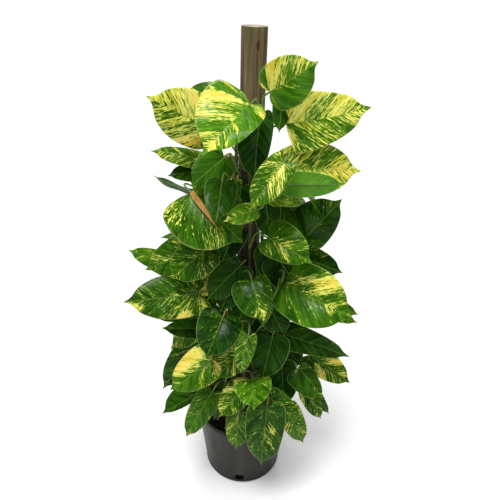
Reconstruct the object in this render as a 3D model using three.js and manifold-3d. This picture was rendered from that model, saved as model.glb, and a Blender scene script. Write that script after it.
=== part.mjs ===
// A potted golden pothos that climbs a round wooden post in a plastic nursery pot.
// Millimetres, +Z up. The origin is the middle of the pot's foot, and -Y is the front.
import * as THREE from "three";
import { mergeVertices } from "three/addons/utils/BufferGeometryUtils.js";
import Module from "manifold-3d";

const wasm = await Module();
wasm.setup();

// The pot, a thin tapered cup with a raised lip
const POT_HEIGHT = 235;
const POT_LIP_RADIUS = 137;
const POT_FOOT_RADIUS = 110.5;
const POT_WALL = 2.4;
const POT_FLOOR = 3;
const POT_LIP_HEIGHT = 16;
const POT_LIP_DEPTH = 2.5;
const POT_FOOT_BEVEL = 5;
const DRAIN_HOLES = 4;
const DRAIN_TURN = -3;
const DRAIN_HOLE_RADIUS = 13.5;
const DRAIN_HOLE_HEIGHT = 28;

// The soil that fills it, a little higher in the middle
const SOIL_TOP = 211;
const SOIL_EDGE_DROP = 6;
const CLEARANCE = 0.3;

// The post, a round wooden stake pushed down to the pot's floor
const POST_RADIUS = 26;
const POST_TOP = 1218;
const POST_LEAN = 7;
const POST_BEVEL = 2;

// The stems, eight round the post, that leave the soil apart and close in on the wood
const STEM_NAMES = [
  "vine_front",
  "vine_front_right",
  "vine_right",
  "vine_back_right",
  "vine_back",
  "vine_back_left",
  "vine_left",
  "vine_front_left",
];
const STEM_TOPS = [1075, 1010, 1045, 965, 990, 985, 1040, 1000];
const STEM_RADIUS = 4.5;
const STEM_ROOT_HEIGHT = 170;
const STEM_ROOT_REACH = 62;
const STEM_REACH = 31.8;
const STEM_CLOSING_HEIGHT = 230;
const STEM_CLOSING_LENGTH = 85;
const STEM_SWAY_DEGREES = 6;
const STEM_STEPS = 13;
const STEM_SIDES = 5;
const STEM_HOLE_SIDES = 8;
const STEM_HOLE_RADIUS = 6;
const STALK_RADIUS = 2.4;
const STALK_CORNERS = [
  [-0.866, 0.5],
  [0.866, 0.5],
  [0, -1],
];
const STALK_STEPS = 2;
const NECK_START = 0.14;
const NECK_END = 0.045;
const STALK_LOWEST = 215;
const BLADE_THICKNESS = 0.8;

const FULL_TURN = 360;
const STEM_SPACING = FULL_TURN / STEM_NAMES.length;
const ROUND_SIDES = 32;

const GREEN = new THREE.MeshStandardMaterial({ color: 0x4f7d24, roughness: 0.42 });
const BLACK_PLASTIC = new THREE.MeshStandardMaterial({ color: 0x2e2d2b, roughness: 0.5 });
const DARK_SOIL = new THREE.MeshStandardMaterial({ color: 0x2a1f17, roughness: 0.95 });
const OLD_WOOD = new THREE.MeshStandardMaterial({ color: 0x6b5c41, roughness: 0.85 });

const radians = THREE.MathUtils.degToRad;

// The eye that the leaves in front are placed from: a point is given by where it is seen, in
// pixels of a square frame, and by how far it stands out in front of the post.
const EYE = new THREE.Vector3(0, -997, 1302);
const EYE_PITCH = radians(29.9);
const EYE_ROLL = radians(2.16);
const EYE_FOCUS = 480;
const FRAME_CENTRE = 250;

function sight([pixelX, pixelY, out]) {
  const right = pixelX - FRAME_CENTRE;
  const down = pixelY - FRAME_CENTRE;
  const u = right * Math.cos(EYE_ROLL) + down * Math.sin(EYE_ROLL);
  const v = down * Math.cos(EYE_ROLL) - right * Math.sin(EYE_ROLL);
  const ray = new THREE.Vector3(u / EYE_FOCUS, 1, -v / EYE_FOCUS);
  ray.applyAxisAngle(new THREE.Vector3(1, 0, 0), -EYE_PITCH);
  return EYE.clone().addScaledVector(ray, (-out - EYE.y) / ray.y);
}

// A closed mesh as a solid for joining and cutting, and back
function solidOf(geometry) {
  const bare = new THREE.BufferGeometry();
  bare.setAttribute("position", geometry.getAttribute("position"));
  bare.setIndex(geometry.index);
  const merged = mergeVertices(bare, 1e-3);
  return new wasm.Manifold(
    new wasm.Mesh({
      numProp: 3,
      vertProperties: merged.getAttribute("position").array,
      triVerts: new Uint32Array(merged.index.array),
    }),
  );
}

function geometryOf(solid) {
  const mesh = solid.getMesh();
  const geometry = new THREE.BufferGeometry();
  geometry.setAttribute("position", new THREE.BufferAttribute(mesh.vertProperties, 3));
  geometry.setIndex(new THREE.BufferAttribute(mesh.triVerts, 1));
  geometry.computeVertexNormals();
  return geometry;
}

// A solid turned about the Z axis from its profile, a list of [radius, height]
function turned(profile) {
  const outline = profile.map(([radius, height]) => new THREE.Vector2(radius, height));
  return new THREE.LatheGeometry(outline, ROUND_SIDES).rotateX(Math.PI / 2);
}

// The stems stand upright in the soil, close in on the post above it, wind a little as they
// climb, and lean with the post.
function stemPoint(stem, height) {
  const closing = THREE.MathUtils.smoothstep(
    height,
    STEM_CLOSING_HEIGHT,
    STEM_CLOSING_HEIGHT + STEM_CLOSING_LENGTH,
  );
  const reach = THREE.MathUtils.lerp(STEM_ROOT_REACH, STEM_REACH, closing);
  const sway = STEM_SWAY_DEGREES * Math.sin(height / 95 + stem * 1.7) * closing;
  const around = radians(stem * STEM_SPACING + sway);
  const lean = (-POST_LEAN * height * closing) / POST_TOP;
  return new THREE.Vector3(
    Math.sin(around) * reach + lean,
    -Math.cos(around) * reach,
    height,
  );
}

function roundSection(radius, sides) {
  const points = Array.from({ length: sides }, (_, side) => {
    const turn = radians((FULL_TURN * side) / sides);
    return new THREE.Vector2(radius * Math.cos(turn), radius * Math.sin(turn));
  });
  return new THREE.Shape(points);
}

function tube(path, radius, sides, steps) {
  return new THREE.ExtrudeGeometry(roundSection(radius, sides), {
    extrudePath: path,
    steps,
  });
}

class StemCurve extends THREE.Curve {
  constructor(stem) {
    super();
    this.stem = stem;
  }

  getPoint(share) {
    const height = THREE.MathUtils.lerp(STEM_ROOT_HEIGHT, STEM_TOPS[this.stem], share);
    return stemPoint(this.stem, height);
  }
}

// Half the outline of a blade of length 1, heart-shaped at the joint and pointed at the tip.
// At each row from joint to tip: the place on the midrib, and the margin along and across.
const OUTLINE = [
  { row: 0, rib: 0, along: 0, across: 0 },
  { row: 0.07, rib: 0.015, along: -0.07, across: 0.24 },
  { row: 0.15, rib: 0.045, along: -0.11, across: 0.54 },
  { row: 0.25, rib: 0.105, along: -0.065, across: 0.84 },
  { row: 0.36, rib: 0.19, along: 0.065, across: 0.985 },
  { row: 0.48, rib: 0.305, along: 0.235, across: 1 },
  { row: 0.6, rib: 0.435, along: 0.43, across: 0.935 },
  { row: 0.72, rib: 0.585, along: 0.63, across: 0.775 },
  { row: 0.83, rib: 0.74, along: 0.8, across: 0.51 },
  { row: 0.92, rib: 0.875, along: 0.91, across: 0.2 },
  { row: 1, rib: 1, along: 1, across: 0 },
];
const LOBE_ROWS = 0.36;
const LOBE_REACH = 0.11;
const FRONT_ROWS = [0.09, 0.22, 0.38, 0.56, 0.76, 0.9];
const BACK_ROWS = [0.1, 0.25, 0.45, 0.68, 0.88];
const BLADE_SIDES = [-1, 0, 1];

function outlineAt(row) {
  const next = Math.max(1, OUTLINE.findIndex((station) => station.row >= row));
  const [a, b] = [OUTLINE[next - 1], OUTLINE[next]];
  const share = (row - a.row) / (b.row - a.row);
  const between = (key) => THREE.MathUtils.lerp(a[key], b[key], share);
  return { rib: between("rib"), along: between("along"), across: between("across") };
}

// A point of a blade of length 1 that lies along X: side runs from -1 to 1 across it. The two
// halves fold up from the midrib, and the whole droops in an arc towards its tip.
function bladePoint(leaf, row, side) {
  const { rib, along, across } = outlineAt(row);
  const heart = Math.min(row / LOBE_ROWS, 1);
  const swell = 1 + leaf.full * Math.sin(Math.PI * row ** 2.2);
  const flare = 1 + (leaf.lobes - 1) * 0.5 * Math.cos((heart * Math.PI) / 2);
  const margin = along - (leaf.lobes - 1) * LOBE_REACH * Math.sin(heart * Math.PI);
  const out = ((across * leaf.wide) / 2) * swell * flare * (1 + leaf.uneven * side);
  const x = THREE.MathUtils.lerp(rib, margin, Math.abs(side) ** 1.25);
  const y = out * side * Math.cos(radians(leaf.fold));
  const z = out * Math.abs(side) * Math.sin(radians(leaf.fold));
  const droop = radians(leaf.droop);
  return new THREE.Vector3(
    Math.sin(droop * x) / droop + z * Math.sin(droop * x),
    y,
    (Math.cos(droop * x) - 1) / droop + z * Math.cos(droop * x),
  );
}

// Axes with X along one direction and Z as near as can be to another
function axesAlong(along, up) {
  const x = along.clone().normalize();
  const z = up.clone().addScaledVector(x, -up.dot(x)).normalize();
  return new THREE.Matrix4().makeBasis(x, z.clone().cross(x), z);
}

// Carries the blade of length 1 to its leaf's joint and tip
function bladePlace(leaf) {
  const droop = radians(leaf.droop);
  const tip = new THREE.Vector3(Math.sin(droop) / droop, 0, (Math.cos(droop) - 1) / droop);
  const reach = leaf.tip.clone().sub(leaf.joint);
  const size = reach.length() / tip.length();
  return new THREE.Matrix4()
    .makeTranslation(leaf.joint)
    .multiply(axesAlong(reach, leaf.facing))
    .multiply(new THREE.Matrix4().makeRotationX(radians(leaf.roll)))
    .multiply(new THREE.Matrix4().makeScale(size, size, size))
    .multiply(axesAlong(tip, new THREE.Vector3(0, 0, 1)).transpose());
}

// The blade's sheet, with its joint as the first point: triangles, and the loop of its margin
function bladeSheet(leaf) {
  const points = [bladePoint(leaf, 0, 0)];
  for (const row of leaf.rows)
    for (const side of BLADE_SIDES) points.push(bladePoint(leaf, row, side));
  points.push(bladePoint(leaf, 1, 0));
  const place = bladePlace(leaf);
  points.forEach((point) => point.applyMatrix4(place));

  const last = leaf.rows.length - 1;
  const tip = points.length - 1;
  const at = (row, column) => 1 + row * BLADE_SIDES.length + column;
  const faces = [];
  for (const column of [0, 1]) {
    faces.push([0, at(0, column), at(0, column + 1)]);
    faces.push([tip, at(last, column + 1), at(last, column)]);
    for (let row = 0; row < last; row += 1) {
      const [a, b] = [at(row, column), at(row + 1, column)];
      const [d, c] = [at(row, column + 1), at(row + 1, column + 1)];
      faces.push(...(column === 0 ? [[a, b, c], [a, c, d]] : [[a, b, d], [b, c, d]]));
    }
  }
  const margin = [0];
  for (let row = 0; row <= last; row += 1) margin.push(at(row, 0));
  margin.push(tip);
  for (let row = last; row >= 0; row -= 1) margin.push(at(row, 2));
  return { points, faces, margin };
}

// The sheet's points, moved out to one face of the blade
function bladeFace({ points, faces }, offset) {
  const sheet = new THREE.BufferGeometry().setFromPoints(points).setIndex(faces.flat());
  sheet.computeVertexNormals();
  return points.map((point, index) => {
    const normal = new THREE.Vector3().fromBufferAttribute(sheet.getAttribute("normal"), index);
    return normal.multiplyScalar(offset).add(point);
  });
}

// A stalk leaves its stem outwards and upwards, bends over, and comes in line with the midrib
// just behind the blade's lobes.
function stalkPath(leaf, neck, rib) {
  const flat = Math.hypot(leaf.joint.x, leaf.joint.y);
  const height = THREE.MathUtils.clamp(
    leaf.joint.z - leaf.rise * flat,
    STALK_LOWEST,
    STEM_TOPS[leaf.stem] - STEM_RADIUS,
  );
  const root = stemPoint(leaf.stem, height);
  const length = root.distanceTo(neck);
  const outwards = new THREE.Vector3(leaf.joint.x / flat, leaf.joint.y / flat, 0);
  const rising = root.clone().addScaledVector(outwards, 0.25 * length);
  rising.z += 0.35 * length;
  const falling = neck.clone().addScaledVector(rib, -0.22 * length);
  falling.z += 0.05 * length;
  return new THREE.CubicBezierCurve3(root, rising, falling, neck);
}

// Three-cornered rings along the stalk from its root to the joint: left, right and below. Each
// halves the bend where it stands, and the last lies square to the midrib.
function stalkRings(leaf) {
  const blade = bladePlace(leaf);
  const rib = new THREE.Vector3().setFromMatrixColumn(blade, 0).normalize();
  const side = new THREE.Vector3().setFromMatrixColumn(blade, 1).normalize();
  const behind = (distance) => new THREE.Vector3(-distance, 0, 0).applyMatrix4(blade);
  const path = stalkPath(leaf, behind(NECK_START), rib);
  const centres = [...path.getPoints(STALK_STEPS), behind(NECK_END)];
  const heading = (from, to) => to.clone().sub(from).normalize();
  return centres
    .map((centre, index) => {
      const before = index > 0 ? heading(centres[index - 1], centre) : rib.clone().setLength(0);
      const after = index < centres.length - 1 ? heading(centre, centres[index + 1]) : rib;
      return { centre, along: before.add(after).normalize() };
    })
    .reverse()
    .map(({ centre, along }) => {
      side.addScaledVector(along, -side.dot(along)).normalize();
      const up = along.clone().cross(side);
      return STALK_CORNERS.map(([across, above]) =>
        centre
          .clone()
          .addScaledVector(side, across * STALK_RADIUS)
          .addScaledVector(up, above * STALK_RADIUS),
      );
    })
    .reverse();
}

// A leaf in one closed mesh: the blade's two faces, its rim, and the stalk. The blade's upper
// face starts at the left and right corners of the stalk's last ring, and its lower face at the
// corner below.
function leafGeometry(leaf) {
  const sheet = bladeSheet(leaf);
  const upper = bladeFace(sheet, BLADE_THICKNESS / 2);
  const lower = bladeFace(sheet, -BLADE_THICKNESS / 2);
  const rings = stalkRings(leaf);
  const [left, right, below] = rings.pop();
  upper[0] = left;
  lower[0] = below;
  const vertices = [...upper, ...lower, right, ...rings.flat()];

  const under = upper.length;
  const rightCorner = 2 * under;
  const [, , firstRib] = sheet.faces[0];
  const onUpper = (face) =>
    face[0] === 0 && face[1] === firstRib ? [rightCorner, face[1], face[2]] : face;
  const faces = [
    ...sheet.faces.map(onUpper),
    ...sheet.faces.map(([a, b, c]) => [under + a, under + c, under + b]),
    [0, firstRib, rightCorner],
  ];
  sheet.margin.slice(0, -1).forEach((from, index) => {
    const to = sheet.margin[index + 1];
    faces.push([under + from, under + to, to], [under + from, to, from]);
  });
  const lastMargin = sheet.margin.at(-1);
  faces.push([under + lastMargin, under, lastMargin], [under, rightCorner, lastMargin]);

  const ringStart = rightCorner + 1;
  const ringCorners = rings.map((_, ring) => [0, 1, 2].map((corner) => ringStart + 3 * ring + corner));
  faces.push(ringCorners[0]);
  ringCorners.push([0, rightCorner, under]);
  for (let ring = 0; ring < rings.length; ring += 1)
    for (let corner = 0; corner < 3; corner += 1) {
      const other = (corner + 1) % 3;
      const [a, b] = [ringCorners[ring][corner], ringCorners[ring + 1][corner]];
      const [d, c] = [ringCorners[ring][other], ringCorners[ring + 1][other]];
      faces.push([a, b, c], [a, c, d]);
    }
  return new THREE.BufferGeometry().setFromPoints(vertices).setIndex(faces.flat());
}

function nearestStem(aroundDegrees) {
  return Math.round(aroundDegrees / STEM_SPACING) % STEM_NAMES.length;
}

function aroundOf(point) {
  const degrees = THREE.MathUtils.radToDeg(Math.atan2(point.x, -point.y));
  return (degrees + FULL_TURN) % FULL_TURN;
}

// The leaves in front, each by the sight of its joint and its tip. wide is the width over the
// length; roll turns the blade about its midrib, droop and fold bend it, in degrees; uneven,
// full and lobes change its outline; rise sets how far below its joint the stalk starts.
const PLAIN_LEAF = {
  rows: FRONT_ROWS,
  wide: 0.7,
  roll: 0,
  droop: 25,
  fold: 12,
  uneven: 0,
  full: 0,
  lobes: 1,
  rise: 0.6,
};
const FRONT_LEAVES = [
  // Upper leaves
  {
    joint: [250, 104, 95], tip: [202, 156, 235], wide: 0.61, roll: 12, droop: 30, fold: 15,
    uneven: -0.28, full: 0.2, lobes: 0.8, stem: 1,
  },
  { joint: [211, 128, 25], tip: [146, 96, 80], wide: 0.66, droop: 30, fold: 8, full: 0.2 },
  { joint: [227, 97, 5], tip: [184, 92, -10], wide: 0.6, roll: 20 },
  { joint: [270, 92, 60], tip: [319, 61, 110], wide: 0.68, full: 0.3, lobes: 0.8, stem: 1 },
  { joint: [286, 124, 50], tip: [372, 107, 110], wide: 0.76, full: -0.15, lobes: -0.2 },
  { joint: [283, 97, 35], tip: [279, 133, 60], wide: 0.55 },
  { joint: [284, 170, 60], tip: [362, 171, 110], wide: 0.56, full: 0.35 },
  { joint: [287, 184, 110], tip: [345, 184, 160], wide: 0.44, roll: 180, rise: 0.4 },
  { joint: [264, 197, 60], tip: [306, 201, 95], wide: 0.6, roll: 55, stem: 0 },
  { joint: [284, 163, 130], tip: [250, 210, 190], wide: 0.5, full: 0.2 },
  { joint: [256, 210, 150], tip: [223, 222, 190], wide: 0.42, full: 0.4 },
  { joint: [260, 116, 60], tip: [254, 183, 110], wide: 0.56, uneven: -0.2, stem: 1 },
  { joint: [203, 160, 0], tip: [150, 151, 30], wide: 0.42, roll: 30, uneven: 0.2 },
  { joint: [205, 172, 0], tip: [167, 176, 30], wide: 0.6, roll: 30 },
  { joint: [224, 158, 60], tip: [191, 186, 110], wide: 0.85 },
  { joint: [222, 182, 125], tip: [216, 222, 190], wide: 0.75 },
  {
    joint: [192, 193, 75], tip: [243, 243, 140], wide: 0.95, uneven: -0.15, full: 0.2,
    lobes: 1.2,
  },
  { joint: [192, 193, 30], tip: [152, 175, 60], wide: 0.5, roll: -72, droop: 10 },
  { joint: [192, 236, 20], tip: [160, 238, 45], wide: 0.6, roll: 65, stem: 7 },
  { joint: [237, 180, 70], tip: [234, 196, 90] },
  // Middle and lower leaves
  { joint: [266, 200, 50], tip: [270, 240, 80], stem: 0 },
  { joint: [304, 239, 20], tip: [342, 199, 40], wide: 0.8, uneven: 0.2, lobes: 0.8 },
  { joint: [268, 238, 110], tip: [312, 263, 160], wide: 0.78, uneven: 0.15 },
  { joint: [168, 263, -10], tip: [128, 250, 0], wide: 0.5, stem: 6, rise: 0.2 },
  { joint: [207, 243, 42], tip: [145, 270, 70], wide: 0.65, stem: 7 },
  { joint: [204, 251, 70], tip: [170, 279, 110], wide: 0.95, lobes: 1.5 },
  { joint: [198, 293, 80], tip: [123, 302, 130], wide: 0.6, full: 0.1, lobes: 1.6 },
  { joint: [198, 310, 30], tip: [156, 319, 40], wide: 0.35 },
  { joint: [205, 328, 40], tip: [161, 328, 80], wide: 0.45 },
  { joint: [223, 317, 120], tip: [206, 358, 190], wide: 1.05 },
  { joint: [252, 281, 115], tip: [264, 322, 175], wide: 0.95, uneven: -0.15, stem: 7 },
  { joint: [281, 284, 105], tip: [254, 335, 138], wide: 0.4, roll: -75 },
  {
    joint: [284, 283, 90], tip: [354, 319, 180], wide: 0.64, uneven: 0.02, full: 0.35,
    lobes: 0.5,
  },
  { joint: [322, 298, 20], tip: [359, 315, 40], wide: 0.4 },
  { joint: [318, 308, 30], tip: [358, 323, 50], wide: 0.35 },
  { joint: [296, 256, 0], tip: [343, 273, 30], wide: 0.6 },
  { joint: [278, 258, 62], tip: [302, 294, 95], wide: 0.95 },
  { joint: [282, 334, 40], tip: [350, 357, 80], wide: 0.45, full: -0.2 },
  { joint: [310, 355, 10], tip: [350, 383, 40], wide: 0.6 },
  { joint: [299, 368, 70], tip: [323, 399, 120], wide: 0.72, uneven: -0.3, lobes: 0.6 },
  { joint: [306, 392, 40], tip: [321, 419, 60], wide: 0.5, rise: 0.1 },
  { joint: [312, 387, 0], tip: [329, 414, 10], wide: 0.28, rise: 0.1 },
  { joint: [252, 380, 140], tip: [254, 410, 235], wide: 0.98 },
  { joint: [242, 388, 130], tip: [219, 417, 180], wide: 0.8 },
  { joint: [211, 394, 140], tip: [186, 437, 165], wide: 0.43 },
  { joint: [225, 383, 120], tip: [214, 419, 135], wide: 0.5 },
  { joint: [204, 388, 70], tip: [162, 414, 100], wide: 0.46, uneven: -0.5 },
  { joint: [194, 342, 20], tip: [163, 389, 50], wide: 0.45 },
  { joint: [213, 360, 130], tip: [170, 390, 175], wide: 0.78, uneven: -0.1, lobes: 0.6 },
  { joint: [240, 350, 120], tip: [216, 378, 145], wide: 0.75, stem: 7 },
  { joint: [248, 337, 156], tip: [241, 374, 170], wide: 0.45, stem: 7 },
  { joint: [272, 338, 90], tip: [262, 379, 130], wide: 0.9, stem: 0 },
  { joint: [267, 408, 165], tip: [261, 465, 185], wide: 0.52 },
  { joint: [270, 398, 140], tip: [301, 421, 150], wide: 0.6, stem: 0 },
  { joint: [239, 412, 150], tip: [236, 449, 165], wide: 0.52 },
  { joint: [287, 408, 140], tip: [303, 443, 150], wide: 0.48, rise: 0.1 },
  // Shaded leaves between them
  { joint: [240, 266, 60], tip: [207, 300, 85], stem: 7 },
  { joint: [245, 300, 45], tip: [233, 338, 70], stem: 7 },
  { joint: [267, 250, 45], tip: [273, 288, 70] },
  { joint: [268, 302, 50], tip: [285, 337, 80], wide: 0.8 },
  { joint: [282, 366, 60], tip: [284, 406, 95] },
  { joint: [238, 268, 51], tip: [220, 312, 87], stem: 7 },
  { joint: [262, 312, 34], tip: [272, 350, 62], wide: 0.8, stem: 0 },
  { joint: [280, 341, 13], tip: [302, 366, 35], wide: 0.8, stem: 1 },
  { joint: [213, 262, 30], tip: [199, 299, 75], wide: 0.9, stem: 7 },
  { joint: [270, 262, 35], tip: [277, 299, 57], wide: 0.8, stem: 1 },
  { joint: [236, 231, 30], tip: [222, 262, 72], wide: 0.8, stem: 7 },
  { joint: [241, 188, 42], tip: [236, 226, 60], wide: 0.6 },
];

function frontLeaves() {
  return FRONT_LEAVES.map((row) => {
    const joint = sight(row.joint);
    const tip = sight(row.tip);
    const middle = joint.clone().lerp(tip, 0.5);
    const facing = EYE.clone().sub(middle);
    return { ...PLAIN_LEAF, stem: nearestStem(aroundOf(joint)), ...row, joint, tip, facing };
  });
}

// The leaves behind follow a rule: three to a level, staggered from one level to the next, with
// seeded differences. Each hangs outwards and faces out and up.
const BACK_SEED = 237;
const BACK_LEVELS = 15;
const BACK_PLACES = 3;
const BACK_LOWEST = 350;
const BACK_LEVEL_RISE = 42;
const BACK_FIRST_AROUND = 92;
const BACK_AROUND_STEP = 71;
const BACK_LEAF = { ...PLAIN_LEAF, rows: BACK_ROWS, fold: 4, droop: 30 };
// Leaves that would cross a neighbour's stalk are carried by the next stem instead, and a few
// places, where a leaf would cross another's blade, stay empty.
const CARRIED_BY = {
  5: "vine_front_left",
  25: "vine_back_right",
  29: "vine_front_left",
  35: "vine_front_left",
  37: "vine_back_right",
};
const EMPTY_PLACES = [6, 12, 33, 41, 43];

function seededDraws(seed) {
  let state = seed;
  return (middle, spread) => {
    state = (state * 1664525 + 1013904223) % 4294967296;
    return middle + ((2 * state) / 4294967296 - 1) * spread;
  };
}

function backLeaf(draw, level, place, count) {
  const stagger = (level % 2) * (BACK_AROUND_STEP / 2);
  const around = draw(BACK_FIRST_AROUND + BACK_AROUND_STEP * place + stagger, 5);
  const middle = BACK_LOWEST + BACK_LEVEL_RISE * (level + (place % 2) / 2);
  const height = draw(middle, 8);
  const reach = draw(80, 10);
  const length = draw(146, 26);
  const drop = radians(draw(46, 9));
  const heading = radians(draw(around, 14));
  const roll = draw(0, 12);
  const wide = draw(0.7, 0.06);
  const joint = new THREE.Vector3(
    Math.sin(radians(around)) * reach,
    -Math.cos(radians(around)) * reach,
    height,
  );
  const out = new THREE.Vector3(Math.sin(heading), -Math.cos(heading), 0);
  const tip = joint.clone().addScaledVector(out, length * Math.cos(drop));
  tip.z -= length * Math.sin(drop);
  const facing = out.clone().setZ(1);
  const stem = CARRIED_BY[count] ? STEM_NAMES.indexOf(CARRIED_BY[count]) : nearestStem(around);
  return { ...BACK_LEAF, wide, roll, joint, tip, facing, stem };
}

function backLeaves() {
  const draw = seededDraws(BACK_SEED);
  const places = [];
  for (let level = 0; level < BACK_LEVELS; level += 1)
    for (let place = 0; place < BACK_PLACES; place += 1)
      places.push(backLeaf(draw, level, place, places.length));
  return places.filter((_, count) => !EMPTY_PLACES.includes(count));
}

// The cup's profile runs up the outside, over the lip and down the inside to the floor.
const POT_SHOULDER = POT_HEIGHT - POT_LIP_HEIGHT;
const POT_WALL_TOP = POT_LIP_RADIUS - POT_LIP_DEPTH;

function potWallRadius(height) {
  return THREE.MathUtils.lerp(POT_FOOT_RADIUS, POT_WALL_TOP, height / POT_SHOULDER);
}

function potSolid() {
  const cup = turned([
    [0, 0],
    [POT_FOOT_RADIUS - POT_FOOT_BEVEL, 0],
    [potWallRadius(POT_FOOT_BEVEL), POT_FOOT_BEVEL],
    [POT_WALL_TOP, POT_SHOULDER],
    [POT_LIP_RADIUS, POT_SHOULDER + 1],
    [POT_LIP_RADIUS, POT_HEIGHT - 1.5],
    [POT_LIP_RADIUS - 1.5, POT_HEIGHT],
    [POT_WALL_TOP - POT_WALL + 1, POT_HEIGHT],
    [POT_WALL_TOP - POT_WALL, POT_SHOULDER],
    [potWallRadius(POT_FOOT_BEVEL + POT_FLOOR) - POT_WALL, POT_FOOT_BEVEL + POT_FLOOR],
    [POT_FOOT_RADIUS - POT_FOOT_BEVEL - POT_WALL, POT_FLOOR],
    [0, POT_FLOOR],
  ]);
  const drill = new THREE.CylinderGeometry(DRAIN_HOLE_RADIUS, DRAIN_HOLE_RADIUS, 40, 16);
  drill.translate(0, -POT_FOOT_RADIUS, 0);
  let pot = solidOf(cup);
  for (let hole = 0; hole < DRAIN_HOLES; hole += 1) {
    const turn = DRAIN_TURN + (hole * FULL_TURN) / DRAIN_HOLES;
    const placed = drill.clone().rotateZ(radians(turn)).translate(0, 0, DRAIN_HOLE_HEIGHT);
    pot = pot.subtract(solidOf(placed));
  }
  return pot;
}

function leaningPost(radius, foot, top, bevel) {
  const lean = new THREE.Matrix4().makeRotationY(-Math.atan(POST_LEAN / POST_TOP));
  return turned([
    [0, foot],
    [radius, foot],
    [radius, top - bevel],
    [radius - bevel, top],
    [0, top],
  ]).applyMatrix4(lean);
}

function soilSolid() {
  const inside = (height) => potWallRadius(height) - POT_WALL - CLEARANCE;
  const foot = POT_FLOOR + CLEARANCE;
  const bevelTop = foot + POT_FOOT_BEVEL;
  const edge = SOIL_TOP - SOIL_EDGE_DROP;
  let soil = solidOf(
    turned([
      [0, foot],
      [inside(0) - POT_FOOT_BEVEL, foot],
      [inside(bevelTop), bevelTop],
      [inside(edge), edge],
      [0.82 * inside(edge), edge + 0.35 * SOIL_EDGE_DROP],
      [0.5 * inside(edge), edge + 0.8 * SOIL_EDGE_DROP],
      [0, SOIL_TOP],
    ]),
  );
  const postHole = leaningPost(POST_RADIUS + CLEARANCE, 0, POT_HEIGHT, 1);
  soil = soil.subtract(solidOf(postHole));
  STEM_NAMES.forEach((_, stem) => {
    const root = stemPoint(stem, STEM_ROOT_HEIGHT - CLEARANCE);
    const [radius, depth] = [STEM_HOLE_RADIUS, POT_HEIGHT - root.z];
    const hole = new THREE.CylinderGeometry(radius, radius, depth, STEM_HOLE_SIDES);
    hole.rotateX(Math.PI / 2).translate(root.x, root.y, root.z + depth / 2);
    soil = soil.subtract(solidOf(hole));
  });
  return soil;
}

// The fused body alone: a hollow that the joining sealed is filled
function wholeBody(solid) {
  return solid.decompose().reduce((a, b) => (b.volume() > a.volume() ? b : a));
}

function named(name, geometry, material) {
  const mesh = new THREE.Mesh(geometry, material);
  mesh.name = name;
  return mesh;
}

const plant = new THREE.Group();
plant.add(named("pot", geometryOf(potSolid()), BLACK_PLASTIC));
plant.add(named("soil", geometryOf(soilSolid()), DARK_SOIL));
plant.add(
  named("post", leaningPost(POST_RADIUS, POT_FLOOR + CLEARANCE, POST_TOP, POST_BEVEL), OLD_WOOD),
);

const leaves = [...frontLeaves(), ...backLeaves()];
STEM_NAMES.forEach((name, stem) => {
  let vine = solidOf(tube(new StemCurve(stem), STEM_RADIUS, STEM_SIDES, STEM_STEPS));
  for (const leaf of leaves.filter((each) => each.stem === stem))
    vine = vine.add(solidOf(leafGeometry(leaf)));
  plant.add(named(name, geometryOf(wholeBody(vine)), GREEN));
});

export default plant;
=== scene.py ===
import math

import bpy
import numpy as np
from mathutils import Matrix, Vector


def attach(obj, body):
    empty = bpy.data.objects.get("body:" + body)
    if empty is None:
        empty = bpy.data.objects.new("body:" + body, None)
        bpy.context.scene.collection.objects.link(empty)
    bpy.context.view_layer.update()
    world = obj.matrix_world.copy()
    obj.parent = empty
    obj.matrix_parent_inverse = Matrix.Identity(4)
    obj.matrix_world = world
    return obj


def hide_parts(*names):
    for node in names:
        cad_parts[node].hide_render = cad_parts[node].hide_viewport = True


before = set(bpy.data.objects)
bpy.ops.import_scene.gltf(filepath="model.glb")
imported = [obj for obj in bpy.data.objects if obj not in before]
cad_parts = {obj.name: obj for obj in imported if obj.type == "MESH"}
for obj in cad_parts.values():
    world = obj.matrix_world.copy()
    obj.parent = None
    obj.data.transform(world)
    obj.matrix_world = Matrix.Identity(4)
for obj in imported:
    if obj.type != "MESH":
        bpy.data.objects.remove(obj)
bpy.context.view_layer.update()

# The view. The plant stands on a plain pale floor in soft studio light, seen by a person who
# stands a step in front of it with the eye a little above the post's top, looking down.
scene = bpy.context.scene
EYE = np.array([0.0, -0.997, 1.302])
EYE_PITCH = math.radians(29.9)
EYE_ROLL = math.radians(2.16)
FRAME_PIXELS = 500
FOCUS_PIXELS = 480
SENSOR_WIDTH = 36.0
FLOOR_REACH = 60.0
FLOOR_LIGHT = (241.05, 241.05, 241.05)
FLOOR_DIM = (239.44, 239.44, 238.91)
FLOOR_GLOW = 0.14
WHITE = (1.0, 1.0, 1.0, 1.0)
ROOM_LIGHT = 0.28
LOOK_AT = Vector((0.0, 0.0, 0.65))

# Each light: its kind, its place, its strength and its width. A sun's is in degrees. That of a
# round light box, which hangs near the plant and lights its top more than its foot, is in metres.
LIGHTS = {
    "light_above": ("SUN", (-0.5, -0.6, 3.2), 1.9, 24),
    "light_front": ("SUN", (1.1, -2.6, 2.6), 0.15, 25),
    "light_behind": ("SUN", (0.6, 2.4, 2.4), 0.9, 35),
    "light_box": ("AREA", (-0.35, -0.75, 2.3), 10.5, 0.9),
    "top_box": ("AREA", (0.33, 0, 2.1), 4, 0.34),
}


def linear(colour):
    """A colour as the eye reads it, 0 to 255, as the linear colour that a shader takes."""
    share = np.array(colour) / 255
    curve = np.where(share > 0.04045, ((share + 0.055) / 1.055) ** 2.4, share / 12.92)
    return (*curve.tolist(), 1.0)


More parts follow.
